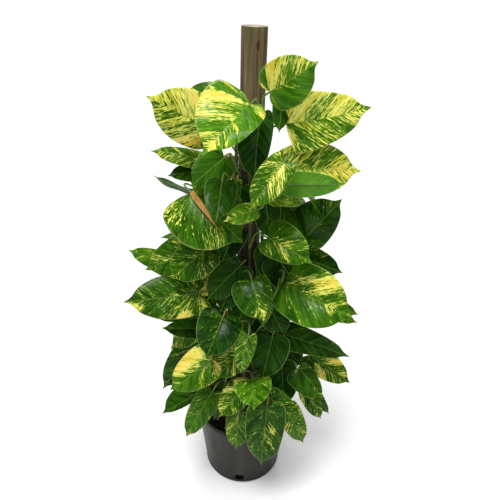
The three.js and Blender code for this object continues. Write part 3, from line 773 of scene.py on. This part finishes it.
# The leaves. Each is one heart-shaped blade on a stalk that leaves its stem upwards, bends over
# and runs on below the blade as its midrib. The blade is thin and waxy, dimpled between its side
# veins, and marbled with yellow in streaks that follow them.
STALK_RADIUS = 0.0024
STALK_LOWEST = 0.215
STALK_SIDES = 8
STALK_STEPS = 13
MIDRIB_STEPS = 14
MIDRIB_SHARE = 0.62
MIDRIB_TIP = 0.0002
MIDRIB_DROP = 0.0006
NECK_START = 0.14
NECK_END = 0.07
BLADE_THICKNESS = 0.0005
BLADE_ROWS = 46
BLADE_COLUMNS = 17
SIDE_VEINS = 7.5
VEIN_SWEEP = 1.2
VEIN_FAN = 0.3
LOBE_ROWS = 0.36
LOBE_REACH = 0.11
GROOVE_DEPTH = 0.006
GROOVE_WIDTH = 0.016
DIMPLE_DEPTH = 0.0015
WAX_RIPPLES = 330
# The darker pair of greens is partly old leaves' own colour and partly painted shade on inner
# leaves.
OLD_AND_SHADED_GREEN = (6, 33, 2), (30, 76, 8)
YOUNG_GREEN = (44, 98, 6), (96, 150, 26)
PALE_YELLOW = (204, 202, 62), (236, 232, 118)
WARM_YELLOW = (222, 198, 74), (238, 218, 108)
HALO_GREEN = (108, 158, 26)
SIDE_VEIN_GREEN = (150, 182, 50)
MIDRIB_GREEN = (140, 172, 62)
# A pale line on every leaf's margin: a painted highlight along the edge.
EDGE_HIGHLIGHT_GREEN = (176, 196, 96)
UNDERSIDE_GREEN = (90, 146, 50)
STALK_GREEN = (62, 98, 30), (110, 142, 54)
STALK_DRY = (26, 0.56, 0.7, 0.6, (168, 124, 58))
LEAF_SEED = 200

# A leaf's own waves along its margin, curl and bend are drawn from between these.
LEAF_SPANS = dict(
    wave=(0.006, 0.02), waves=(1.4, 2.6), phase=(0, 2 * np.pi), curl=(0.08, 0.3),
    bend=(-0.02, 0.02),
)

# Half the outline of a blade of length 1, heart-shaped at the joint and pointed at the tip: the
# rows, and at each the place on the midrib and the place of the margin along and across.
OUTLINE = np.array([
    [0, 0.07, 0.15, 0.25, 0.36, 0.48, 0.6, 0.72, 0.83, 0.92, 1],
    [0, 0.015, 0.045, 0.105, 0.19, 0.305, 0.435, 0.585, 0.74, 0.87, 1],
    [0, -0.07, -0.11, -0.065, 0.065, 0.235, 0.43, 0.63, 0.8, 0.9, 1],
    [0, 0.24, 0.54, 0.84, 0.985, 1, 0.935, 0.775, 0.5, 0.15, 0],
]).T

# A plain leaf: wide is the width over the length; roll turns the blade about its midrib, droop
# and fold bend it, in degrees; uneven, full and lobes change its outline; rise sets how far below
# its joint the stalk starts. gold is how yellow it is and tone how light its green, from 0 to 1; a
# low tone is partly an old leaf's deeper green and partly painted shade on leaves deep in the
# plant.
# A patch is a spot with more or less gold: its place along the veins and across the blade, how
# far it reaches each way, and how much it adds.
PLAIN_LEAF = dict(
    wide=0.7, roll=0, droop=25, fold=12, uneven=0, full=0, lobes=1, rise=0.6,
    gold=0.1, tone=0.3, patches=(),
)


def placed_leaf(joint, tip, facing, differences):
    """A plain leaf in a place, on the stem that is nearest to its joint, with its differences."""
    nearest = round(math.atan2(joint[0], -joint[1]) / STEM_SPACING) % len(STEM_NAMES)
    place = dict(joint=joint, tip=tip, facing=facing, stem=nearest)
    return {**PLAIN_LEAF, **place, **differences}


def sight(pixel_x, pixel_y, out):
    """The point seen at a pixel of the view, at a distance out in front of the post."""
    right, down = pixel_x - FRAME_PIXELS / 2, pixel_y - FRAME_PIXELS / 2
    u = (right * math.cos(EYE_ROLL) + down * math.sin(EYE_ROLL)) / FOCUS_PIXELS
    v = (down * math.cos(EYE_ROLL) - right * math.sin(EYE_ROLL)) / FOCUS_PIXELS
    ahead = math.cos(EYE_PITCH) - v * math.sin(EYE_PITCH)
    ray = np.array([u, ahead, -math.sin(EYE_PITCH) - v * math.cos(EYE_PITCH)])
    return EYE + ray * (-out - EYE[1]) / ahead


def seen(wide, gold, tone=0.3, *, joint, tip, **differences):
    """A leaf in front, by the sight of its joint and of its tip. It faces the eye."""
    joint, tip = sight(*joint), sight(*tip)
    differences.update(wide=wide, gold=gold, tone=tone)
    return placed_leaf(joint, tip, EYE - (joint + tip) / 2, differences)


# The leaves in front: wide, gold and tone; the joint and the tip, each as pixels of the view and
# metres out in front of the post; and what else differs from a plain leaf.
FRONT_LEAVES = [
    # Upper leaves
    seen(0.61, 0.5, 0.85, joint=(250, 104, 0.095), tip=(202, 156, 0.235), roll=12, droop=30,
        fold=15, uneven=-0.28, full=0.2, lobes=0.8, stem=1,
        patches=[(-0.02, -0.55, 0.035, 0.5, 0.8), (-0.14, -0.5, 0.06, 0.6, -0.35),
        (-0.24, -0.85, 0.035, 0.25, 0.7), (0.4, 0.25, 0.06, 0.25, 0.8), (0.8, 0.1, 0.1, 0.6, 0.5),
        (-0.15, 0.85, 0.06, 0.25, 0.9), (0.2, 0.5, 0.2, 0.5, -0.3), (0.15, -0.8, 0.2, 0.4, 0.2)]),
    seen(0.66, 0.8, 0.35, joint=(211, 128, 0.025), tip=(146, 96, 0.08), droop=30, fold=8, full=0.2,
        patches=[(0.12, -0.7, 0.07, 0.4, 0.7), (-0.07, 0.6, 0.1, 0.5, 0.4)]),
    seen(0.6, 0.4, 0.2, joint=(227, 97, 0.005), tip=(184, 92, -0.01), roll=20),
    seen(0.68, 0.6, 0.7, joint=(270, 92, 0.06), tip=(319, 61, 0.11), full=0.3, lobes=0.8, stem=1,
        patches=[(-0.37, 0.8, 0.08, 0.4, 0.9), (-0.22, 0.7, 0.06, 0.6, -0.6),
        (-0.03, 0.5, 0.05, 0.6, 0.6), (0.3, -0.6, 1, 0.55, -0.5)]),
    seen(0.76, 0.82, 0.65, joint=(286, 124, 0.05), tip=(372, 107, 0.11), full=-0.15, lobes=-0.2,
        patches=[(-0.1, 0.6, 0.07, 0.6, 0.5)]),
    seen(0.55, -0.3, 0.15, joint=(283, 97, 0.035), tip=(279, 133, 0.06)),
    seen(0.56, 0.8, 0.5, joint=(284, 170, 0.06), tip=(362, 171, 0.11), full=0.35,
        patches=[(0.75, 0, 0.2, 1, 0.3)]),
    seen(0.44, 0, 0.6, joint=(287, 184, 0.11), tip=(345, 184, 0.16), roll=180, rise=0.4),
    seen(0.6, 0.4, 0.4, joint=(264, 197, 0.06), tip=(306, 201, 0.095), roll=55, stem=0),
    seen(0.5, 0.36, 0.35, joint=(284, 163, 0.13), tip=(250, 210, 0.19), full=0.2,
        patches=[(0.22, 0.15, 0.3, 0.25, 0.5)]),
    seen(0.42, 0.3, 0.6, joint=(256, 210, 0.15), tip=(223, 222, 0.19), full=0.4,
        patches=[(0.85, 0, 0.25, 1, 0.5)]),
    seen(0.56, -0.3, 0, joint=(260, 116, 0.06), tip=(254, 183, 0.11), uneven=-0.2, stem=1),
    seen(0.42, 0.6, 0.5, joint=(203, 160, 0), tip=(150, 151, 0.03), roll=30, uneven=0.2),
    seen(0.6, -0.1, 0.15, joint=(205, 172, 0), tip=(167, 176, 0.03), roll=30),
    seen(0.85, -0.3, joint=(224, 158, 0.06), tip=(191, 186, 0.11)),
    seen(0.75, -0.3, 0.1, joint=(222, 182, 0.125), tip=(216, 222, 0.19)),
    seen(0.95, 0.12, joint=(192, 193, 0.075), tip=(243, 243, 0.14), uneven=-0.15, full=0.2,
        lobes=1.2, patches=[(-0.3, -0.9, 0.12, 0.3, 0.35), (0.45, -0.6, 0.18, 0.5, 0.3)]),
    seen(0.5, 0, joint=(192, 193, 0.03), tip=(152, 175, 0.06), roll=-72, droop=10),
    seen(0.6, 0.2, joint=(192, 236, 0.02), tip=(160, 238, 0.045), roll=65, stem=7),
    seen(0.7, 0.2, joint=(237, 180, 0.07), tip=(234, 196, 0.09)),
    # Middle and lower leaves
    seen(0.7, 0, 0.05, joint=(266, 200, 0.05), tip=(270, 240, 0.08), stem=0),
    seen(0.8, 0.1, 0.15, joint=(304, 239, 0.02), tip=(342, 199, 0.04), uneven=0.2, lobes=0.8),
    seen(0.78, 0.2, 0.4, joint=(268, 238, 0.11), tip=(312, 263, 0.16), uneven=0.15,
        patches=[(0.25, -0.2, 0.2, 0.6, 0.4)]),
    seen(0.5, 0.1, 0.8, joint=(168, 263, -0.01), tip=(128, 250, 0), stem=6, rise=0.2),
    seen(0.65, 0.3, joint=(207, 243, 0.042), tip=(145, 270, 0.07), stem=7),
    seen(0.95, 0.3, joint=(204, 251, 0.07), tip=(170, 279, 0.11), lobes=1.5),
    seen(0.6, 0.33, 0.2, joint=(198, 293, 0.08), tip=(123, 302, 0.13), full=0.1, lobes=1.6,
        patches=[(0.78, 0.9, 0.2, 0.5, 0.6), (-0.35, 0.7, 0.07, 0.4, 0.8),
        (-0.08, 0.95, 0.08, 0.25, 0.8), (0.3, 0.1, 0.08, 0.25, 0.5)]),
    seen(0.35, 0, 0.2, joint=(198, 310, 0.03), tip=(156, 319, 0.04)),
    seen(0.45, 0.1, 0.2, joint=(205, 328, 0.04), tip=(161, 328, 0.08)),
    seen(1.05, 0.15, 0, joint=(223, 317, 0.12), tip=(206, 358, 0.19)),
    seen(0.95, 0.22, 0.25, joint=(252, 281, 0.115), tip=(264, 322, 0.175), uneven=-0.15, stem=7,
        patches=[(0.7, 0, 0.25, 1, 0.5)]),
    seen(0.4, 0.2, joint=(281, 284, 0.105), tip=(254, 335, 0.138), roll=-75),
    seen(0.64, 0.3, 0.5, joint=(284, 283, 0.09), tip=(354, 319, 0.18), uneven=0.02, full=0.35,
        lobes=0.5, patches=[(0.27, 0.65, 0.2, 0.5, 0.75), (0.02, 0.35, 0.1, 0.3, 0.4),
        (0.5, 0.8, 0.12, 0.4, 0.4), (0.66, -0.1, 0.1, 0.35, 0.6), (0.3, -0.6, 1, 0.5, -0.2)]),
    seen(0.4, 0, joint=(322, 298, 0.02), tip=(359, 315, 0.04)),
    seen(0.35, 0, joint=(318, 308, 0.03), tip=(358, 323, 0.05)),
    seen(0.6, 0, 0.1, joint=(296, 256, 0), tip=(343, 273, 0.03)),
    seen(0.95, -0.2, 0, joint=(278, 258, 0.062), tip=(302, 294, 0.095)),
    seen(0.45, -0.2, 0.15, joint=(282, 334, 0.04), tip=(350, 357, 0.08), full=-0.2),
    seen(0.6, 0.3, joint=(310, 355, 0.01), tip=(350, 383, 0.04),
        patches=[(0.15, -0.7, 0.13, 0.5, 1), (0.3, 0.7, 0.12, 0.5, 1)]),
    seen(0.72, 0.1, 0.25, joint=(299, 368, 0.07), tip=(323, 399, 0.12), uneven=-0.3, lobes=0.6),
    seen(0.5, 0.5, 0.25, joint=(306, 392, 0.04), tip=(321, 419, 0.06), rise=0.1),
    seen(0.28, 0, 0.1, joint=(312, 387, 0), tip=(329, 414, 0.01), rise=0.1),
    seen(0.98, 0.25, 0.7, joint=(252, 380, 0.14), tip=(254, 410, 0.235),
        patches=[(-0.3, -0.8, 0.12, 0.35, 0.8)]),
    seen(0.8, 0.5, 0.25, joint=(242, 388, 0.13), tip=(219, 417, 0.18)),
    seen(0.43, 0.2, 0.45, joint=(211, 394, 0.14), tip=(186, 437, 0.165)),
    seen(0.5, -0.2, 0.05, joint=(225, 383, 0.12), tip=(214, 419, 0.135)),
    seen(0.46, -0.1, 0.15, joint=(204, 388, 0.07), tip=(162, 414, 0.1), uneven=-0.5),
    seen(0.45, 0.1, 0.1, joint=(194, 342, 0.02), tip=(163, 389, 0.05)),
    seen(0.78, 0.5, 0.45, joint=(213, 360, 0.13), tip=(170, 390, 0.175), uneven=-0.1, lobes=0.6,
        patches=[(0.2, -0.8, 0.35, 0.4, 0.7), (-0.35, 0.5, 0.14, 0.5, 0.8),
        (0.35, 0.5, 0.4, 0.5, -0.4)]),
    seen(0.75, 0.3, 0.2, joint=(240, 350, 0.12), tip=(216, 378, 0.145), stem=7),
    seen(0.45, 0.3, 0.35, joint=(248, 337, 0.156), tip=(241, 374, 0.17), stem=7),
    seen(0.9, -0.3, 0.05, joint=(272, 338, 0.09), tip=(262, 379, 0.13), stem=0),
    seen(0.52, 0.12, 0.1, joint=(267, 408, 0.165), tip=(261, 465, 0.185),
        patches=[(0.2, 0.35, 0.06, 0.22, 0.8), (0.5, 0.3, 0.2, 0.6, 0.25)]),
    seen(0.6, 0.3, 0.15, joint=(270, 398, 0.14), tip=(301, 421, 0.15), stem=0),
    seen(0.52, 0.36, 0.35, joint=(239, 412, 0.15), tip=(236, 449, 0.165)),
    seen(0.48, 0.45, 0.4, joint=(287, 408, 0.14), tip=(303, 443, 0.15), rise=0.1),
    # Shaded leaves between them, darkened by their low tone as painted shade
    seen(0.7, -0.25, 0.1, joint=(240, 266, 0.06), tip=(207, 300, 0.085), stem=7),
    seen(0.7, -0.25, 0.1, joint=(245, 300, 0.045), tip=(233, 338, 0.07), stem=7),
    seen(0.7, -0.25, 0, joint=(267, 250, 0.045), tip=(273, 288, 0.07)),
    seen(0.8, -0.25, 0.05, joint=(268, 302, 0.05), tip=(285, 337, 0.08)),
    seen(0.7, -0.25, 0.05, joint=(282, 366, 0.06), tip=(284, 406, 0.095)),
    seen(0.7, -0.25, 0, joint=(238, 268, 0.051), tip=(220, 312, 0.087), stem=7),
    seen(0.8, -0.25, 0, joint=(262, 312, 0.034), tip=(272, 350, 0.062), stem=0),
    seen(0.8, -0.25, 0, joint=(280, 341, 0.013), tip=(302, 366, 0.035), stem=1),
    seen(0.9, 0.75, joint=(213, 262, 0.03), tip=(199, 299, 0.075), stem=7),
    seen(0.8, -0.25, 0.05, joint=(270, 262, 0.035), tip=(277, 299, 0.057), stem=1),
    seen(0.8, -0.25, 0, joint=(236, 231, 0.03), tip=(222, 262, 0.072), stem=7),
    seen(0.6, -0.25, 0.05, joint=(241, 188, 0.042), tip=(236, 226, 0.06)),
]

# The leaves behind follow a rule: three to a level, staggered from one level to the next, with
# seeded differences. Each hangs outwards and faces out and up. A few that would cross another
# leaf's stalk are carried by the next stem instead, and a few places stay empty.
BACK_SEED = 237
BACK_LEVELS = 15
BACK_PLACES = 3
BACK_LOWEST = 0.350
BACK_LEVEL_RISE = 0.042
BACK_FIRST_AROUND = 92
BACK_AROUND_STEP = 71
BACK_GOLDS = (0.15, 0.5, 0.3, 0.7, 0.1, 0.4)
CARRIED_BY = {5: 7, 25: 3, 29: 7, 35: 7, 37: 3}
EMPTY_PLACES = (6, 12, 33, 41, 43)
DRAW_FACTOR = 1664525
DRAW_STEP = 1013904223
DRAW_ROUND = 4294967296
UPWARDS = np.array([0, 0, 1.0])

# Each measure of a leaf behind, in the order of the draws: its middle, and the most that a draw
# may add to it or take off.
BACK_MEASURES = dict(
    around=(0, 5), height=(0, 0.008), reach=(0.08, 0.01), length=(0.146, 0.026),
    drop=(46, 9), heading=(0, 14), roll=(0, 12), wide=(0.7, 0.06),
)


def seeded_draws(seed):
    """Draws from -1 to 1: a row of whole numbers, each the last times a factor plus a step, with
    full rounds taken off."""
    while True:
        seed = (seed * DRAW_FACTOR + DRAW_STEP) % DRAW_ROUND
        yield 2 * seed / DRAW_ROUND - 1


def back_leaf(level, place, draw):
    """The leaf in one place of a level, from the rule and the draws."""
    drawn = {name: middle + most * next(draw) for name, (middle, most) in BACK_MEASURES.items()}
    around = BACK_FIRST_AROUND + BACK_AROUND_STEP * (place + (level % 2) / 2)
    around = math.radians(around + drawn["around"])
    height = BACK_LOWEST + BACK_LEVEL_RISE * (level + (place % 2) / 2) + drawn["height"]
    joint = outward(around) * drawn["reach"] + UPWARDS * height
    out = outward(around + math.radians(drawn["heading"]))
    drop = math.radians(drawn["drop"])
    tip = joint + drawn["length"] * (out * math.cos(drop) - UPWARDS * math.sin(drop))
    gold = BACK_GOLDS[(5 * level + 2 * place) % len(BACK_GOLDS)]
    differences = dict(fold=4, droop=30, roll=drawn["roll"], wide=drawn["wide"])
    differences.update(gold=gold, tone=0.2 + 0.5 * gold)
    return placed_leaf(joint, tip, out + UPWARDS, differences)


def back_leaves():
    """The leaves of every level, with the changes of stem and without the empty places."""
    draw = seeded_draws(BACK_SEED)
    places = [(level, place) for level in range(BACK_LEVELS) for place in range(BACK_PLACES)]
    leaves = [back_leaf(level, place, draw) for level, place in places]
    for number, stem in CARRIED_BY.items():
        leaves[number]["stem"] = stem
    return [leaf for number, leaf in enumerate(leaves) if number not in EMPTY_PLACES]


def outline_at(row):
    """The rib, along and across of the outline at these rows: a cubic curve from each station to
    the next, whose slope at a station is that between its two neighbours."""
    stations, values = OUTLINE[:, 0], OUTLINE[:, 1:]
    slopes = np.gradient(values, stations, axis=0)
    before = np.clip(np.searchsorted(stations, row, side="right") - 1, 0, len(stations) - 2)
    width = (stations[before + 1] - stations[before])[..., None]
    t = (row - stations[before])[..., None] / width
    rise = 3 * t**2 - 2 * t**3
    return (
        values[before] * (1 - rise)
        + values[before + 1] * rise
        + slopes[before] * width * (t**3 - 2 * t**2 + t)
        + slopes[before + 1] * width * (t**3 - t**2)
    )


def blade_sheet(leaf, row, side):
    """Points of a blade of length 1 that lies along X, for rows from joint to tip and sides from
    -1 to 1. The margin follows the outline; the two halves fold up from the midrib and roll
    down a little at their edges; the margin waves as a sine of the row; a groove lies along the
    midrib, and the sheet is dimpled by a cosine across the side veins; the whole droops in an
    arc. Also the place along the side veins, and the place across, of each point."""
    draw = leaf["draw"]
    rib, along, across = np.moveaxis(outline_at(row), -1, 0)
    heart = np.clip(row / LOBE_ROWS, 0, 1)
    swell = 1 + leaf["full"] * np.sin(np.pi * row**2.2)
    flare = 1 + (leaf["lobes"] - 1) * 0.5 * np.cos(heart * np.pi / 2)
    margin = along - (leaf["lobes"] - 1) * LOBE_REACH * np.sin(heart * np.pi)
    reach = across * leaf["wide"] / 2 * swell * flare * (1 + leaf["uneven"] * side)
    size = np.abs(side)
    x = rib + (margin - rib) * size**1.25
    fold = math.radians(leaf["fold"])
    y = reach * side * math.cos(fold) + draw["bend"] * np.sin(np.pi * np.clip(x, 0, 1))
    apart = reach * size
    fan = np.arctan2(apart, x) - math.atan2(1, VEIN_SWEEP)
    vein = np.where(x > VEIN_SWEEP * apart, x - VEIN_SWEEP * apart, -fan * VEIN_FAN)
    ends = np.clip(5 * (1 - row), 0, 1) * np.clip(6 * row, 0, 1)
    wave = np.sin(2 * np.pi * draw["waves"] * row + draw["phase"] + 1.3 * (side < 0))
    z = apart * math.sin(fold)
    z = z - draw["curl"] * apart * size + draw["wave"] * wave * size**2.5 * ends
    z = z - GROOVE_DEPTH * np.exp(-((apart / GROOVE_WIDTH) ** 2)) * np.clip(3 * (1 - row), 0, 1)
    dimples = np.cos(2 * np.pi * vein * SIDE_VEINS) * np.clip(4 * size, 0, 1) * (1 - size**3)
    dimples = dimples * np.clip(7 * np.hypot(x, apart), 0, 1)
    z = z - DIMPLE_DEPTH * dimples * ends
    droop = math.radians(leaf["droop"])
    along = np.sin(droop * x) / droop + z * np.sin(droop * x)
    down = (np.cos(droop * x) - 1) / droop + z * np.cos(droop * x)
    sheet = np.stack([along, y, down], -1)
    return sheet, vein, reach * side


def axes_along(along, up):
    """Three axes as rows: X along one direction, and Z as near as can be to another."""
    x = unit(along)
    z = unit(up - x * (up @ x))
    return np.stack([x, np.cross(z, x), z])


def blade_place(leaf):
    """The blade's length, and the axes that turn a point of the blade of length 1 to its place."""
    droop = math.radians(leaf["droop"])
    tip = np.array([math.sin(droop) / droop, 0, (math.cos(droop) - 1) / droop])
    size = np.linalg.norm(leaf["tip"] - leaf["joint"]) / np.linalg.norm(tip)
    roll = math.radians(leaf["roll"])
    rolled = np.array([
        [1, 0, 0],
        [0, math.cos(roll), math.sin(roll)],
        [0, -math.sin(roll), math.cos(roll)],
    ])
    world = axes_along(leaf["tip"] - leaf["joint"], leaf["facing"])
    return size, axes_along(tip, UPWARDS).T @ rolled @ world


def blade_form(leaf):
    """The blade in rings: across the upper face from its left margin to its right, then back
    across the lower face, half the thickness off the sheet along its normals."""
    row = np.linspace(0.015, 0.99, BLADE_ROWS)[:, None]
    turn, straight = np.linspace([np.pi / 2, 1], [-np.pi / 2, -1], BLADE_COLUMNS).T
    side = 0.5 * np.sin(turn)[None, :] + 0.5 * straight[None, :]
    sheet, vein, across = blade_sheet(leaf, row + 0 * side, side + 0 * row)
    size, axes = blade_place(leaf)
    sheet = leaf["joint"] + size * (sheet @ axes)
    normal = unit(np.cross(np.gradient(sheet, axis=1), np.gradient(sheet, axis=0)))
    upper = sheet + normal * BLADE_THICKNESS / 2
    lower = sheet - normal * BLADE_THICKNESS / 2
    rings = np.concatenate([upper, lower[:, ::-1]], axis=1)
    vertices, faces = capped(rings, leaf["joint"], leaf["tip"])
    is_upper = np.concatenate([np.ones(sheet.shape[:2]), np.zeros(sheet.shape[:2])], axis=1)
    gold = leaf["gold"] + 0 * vein + sum(
        strength * np.exp(-(((vein - at_vein) / along) ** 4) - ((side - at_side) / over) ** 4)
        for at_vein, at_side, along, over, strength in leaf["patches"]
    )

    def on_points(values, first, last):
        """Values on the sheet, given to both faces of each ring and to the two ends."""
        rings = np.concatenate([values, values[:, ::-1]], axis=1)
        return np.concatenate([rings.reshape(-1), [first, last]])

    marks = dict(
        vein=on_points(vein * size, 0, size),
        rib=on_points(vein * SIDE_VEINS, 0, SIDE_VEINS),
        across=on_points(across * size, 0, 0),
        margin=on_points(np.abs(side) + 0 * row, 0, 1),
        upper=np.concatenate([is_upper.reshape(-1), [1, 1]]),
        gold=on_points(gold, leaf["gold"], leaf["gold"]),
        tone=np.full(len(vertices), leaf["tone"]),
        number=np.full(len(vertices), leaf["number"] * 0.37),
    )
    return vertices, faces, marks


def stalk_form(leaf):
    """The stalk leaves the stem outwards and upwards, bends over, comes in line with the midrib
    just behind the lobes, and runs on below the sheet as the midrib. It is thick where it clasps
    the stem, swells once more at the neck, and thins out towards the tip."""
    size, axes = blade_place(leaf)
    joint = leaf["joint"]
    flat = math.hypot(joint[0], joint[1])
    top = STEM_TOPS[leaf["stem"]] - STEM_RADIUS
    root = stem_point(leaf["stem"], min(max(joint[2] - leaf["rise"] * flat, STALK_LOWEST), top))
    neck = joint - NECK_START * size * axes[0]
    length = np.linalg.norm(neck - root)
    outwards = joint * (1, 1, 0) / flat
    up = np.array([0, 0, length])
    rising = root + 0.25 * length * outwards + 0.35 * up
    falling = neck - 0.22 * length * axes[0] + 0.05 * up
    row = np.linspace(0.03, 0.93, MIDRIB_STEPS)
    rib, _, _ = blade_sheet(leaf, row, 0 * row)
    path = np.vstack([
        curve(root, rising, falling, neck, STALK_STEPS),
        [joint - NECK_END * size * axes[0]],
        joint + size * (rib @ axes) - axes[2] * MIDRIB_DROP,
    ])
    share = np.linspace(0, 1, STALK_STEPS)
    clasp = 0.55 * np.exp(-((share / 0.14) ** 2))
    swelling = 0.2 * np.exp(-(((share - 0.93) / 0.07) ** 2))
    stalk = STALK_RADIUS * (0.8 + clasp + swelling)
    midrib = STALK_RADIUS * MIDRIB_SHARE * (1 - row) ** 0.8 + MIDRIB_TIP
    radii = np.concatenate([stalk, [STALK_RADIUS * 0.78], midrib])
    return carried(path, radii, STALK_SIDES, axes[1])


def leaf_finish():
    """Waxy green, darker and lighter along the veins, broken by yellow that spreads from the
    midrib in wedges, streaks and flecks, each a noise stretched along the side veins; more of it
    where the leaf is more golden. The underside is paler and duller."""
    coat = {"Coat Weight": 0.13, "Coat Roughness": 0.11}
    wax = Finish("leaf_wax", specular=0.03, **coat)
    marks = ("vein", "rib", "across", "margin", "upper", "gold", "tone", "number")
    vein, rib, across, margin, upper, gold, tone, number = map(wax.attribute, marks)
    apart = number + across.step(-0.00005, 0.00005) * 7.3

    def along_veins(over_veins, along, detail=2.0, roughness=0.5):
        inputs = {"X": vein * over_veins, "Y": across * along, "Z": apart}
        return wax.noise(1, detail, roughness, wax.node("CombineXYZ", inputs=inputs))

    sectors = along_veins(26, 9, 1.0)
    streaks = along_veins(190, 26, 3.0, 0.65)
    flecks = along_veins(480, 130, 2.0, 0.6)
    shade = along_veins(60, 22)
    spread = (streaks - 0.5) * 1.9 + (sectors - 0.5) * 1.3 + (flecks - 0.5) * 2.1
    bias = spread + gold * 0.8
    yellow = bias.step(0.62, 0.74)
    depth = (shade * 0.55 + streaks * 0.25 + flecks * 0.2).step(0.36, 0.64)
    pale = wax.mix((shade * 0.5 + flecks * 0.5).step(0.42, 0.6), *PALE_YELLOW)
    warm = wax.mix(shade.step(0.4, 0.6), *WARM_YELLOW)
    solid = (gold + sectors * 0.3).step(1.0, 1.3)
    # A low tone gives the darker green: partly an old leaf's colour, partly painted shade on inner
    # leaves.
    wax.colour = wax.mix(tone, wax.mix(depth, *OLD_AND_SHADED_GREEN), wax.mix(depth, *YOUNG_GREEN))
    wax.lay(bias.step(0.26, 0.66) * 0.55, HALO_GREEN)
    wax.lay(yellow, wax.mix(solid, pale, warm))
    from_midrib = across.maths("ABSOLUTE")
    side_veins = (2 * math.pi * rib).maths("COSINE").step(0.94, 1.0)
    wax.lay(side_veins * from_midrib.step(0.05, 0.0) * 0.1, SIDE_VEIN_GREEN)
    wax.lay(from_midrib.step(0.0013, 0.0005) * 0.32, MIDRIB_GREEN)
    # Painted highlight: a pale line laid along the margin of each leaf.
    wax.lay(margin.step(0.95, 1.0) * 0.5, EDGE_HIGHLIGHT_GREEN)
    wax.lay((1 - upper) * 0.4, UNDERSIDE_GREEN)
    ripple = (2 * math.pi * WAX_RIPPLES * vein).maths("SINE")
    height = along_veins(900, 500) * 0.5 + ripple * 0.2 + yellow * 0.25
    return wax.wear(wax.bump(height, 0.0004, 0.45), 0.46 - upper * 0.14 + shade * 0.1)


LEAF_FINISH = leaf_finish()
STALK_FINISH = two_tone_finish(
    "stalk_skin", 0.45, 0.45, 60, STALK_GREEN, 0.0006, 0.4, STALK_DRY
)
leaves = [*FRONT_LEAVES, *back_leaves()]
for number, leaf in enumerate(leaves):
    draw = np.random.default_rng(LEAF_SEED + number)
    own_draws = {name: draw.uniform(*span) for name, span in LEAF_SPANS.items()}
    leaf.update(number=number, draw=own_draws)
for stem, name in enumerate(STEM_NAMES):
    own = [leaf for leaf in leaves if leaf["stem"] == stem]
    blades = [blade_form(leaf) for leaf in own]
    surfaces = joined([(points, faces) for points, faces, _ in blades])
    blade_piece = new_object(f"{name}_leaves", *surfaces, [LEAF_FINISH])
    for mark in blades[0][2]:
        layer = blade_piece.data.attributes.new(mark, "FLOAT", "POINT")
        layer.data.foreach_set("value", np.concatenate([marks[mark] for _, _, marks in blades]))
    stalks = joined([stalk_form(leaf) for leaf in own])
    stalk_piece = new_object(f"{name}_stalks", *stalks, [STALK_FINISH])
    for piece in (blade_piece, stalk_piece):
        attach(piece, "root")
        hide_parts(f"vine_{name}")


# The dry sheath. A papery brown sheath that had wrapped a young leaf: it split open as the leaf
# grew out of it, dried, and still hangs from the joint in front of the wide leaf at the left.
SHEATH_PATH = (191, 191, 0.08), (199, 203, 0.106), (210, 217, 0.13), (223, 237, 0.15)
SHEATH_WIDTH = 0.021
SHEATH_CURL = 0.004
SHEATH_THICKNESS = 0.0012
SHEATH_ROWS = 30
SHEATH_COLUMNS = 9
SHEATH_BROWN = (126, 80, 24), (214, 170, 92)
SHEATH_SPOTS = (90, 0.52, 0.7, 0.6, (84, 96, 30))


def sheath_form():
    """A long trough, by row along it and side across it: as wide as a power of the row times one
    of what is left of it, and with edges curled up as the square of the side."""
    row = np.linspace(0.03, 0.98, SHEATH_ROWS)[:, None]
    side = np.linspace(-1, 1, SHEATH_COLUMNS)
    path = curve(*(sight(*place) for place in SHEATH_PATH), SHEATH_ROWS)
    along = unit(path[-1] - path[0])
    ahead = unit(EYE - path[0])
    across = unit(np.cross(ahead, along))
    wide = SHEATH_WIDTH * row**0.5 * (1 - row) ** 1.8
    curled = SHEATH_CURL * side**2 * wide / SHEATH_WIDTH
    sheet = path[:, None] + wide[..., None] * side[:, None] * across + curled[..., None] * ahead
    sheet = sheet - 0.0006 * np.cos(side * 14)[:, None] * ahead
    rings = np.concatenate([sheet, sheet[:, ::-1] - SHEATH_THICKNESS * ahead], axis=1)
    return capped(rings[:, ::-1], path[0], path[-1])


SHEATH_FINISH = two_tone_finish(
    "dry_sheath", 0.8, 0.2, (900, 900, 60), SHEATH_BROWN, 0.0005, 0.6, SHEATH_SPOTS
)
sheath = new_object("dry_sheath", *sheath_form(), [SHEATH_FINISH])
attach(sheath, "root")
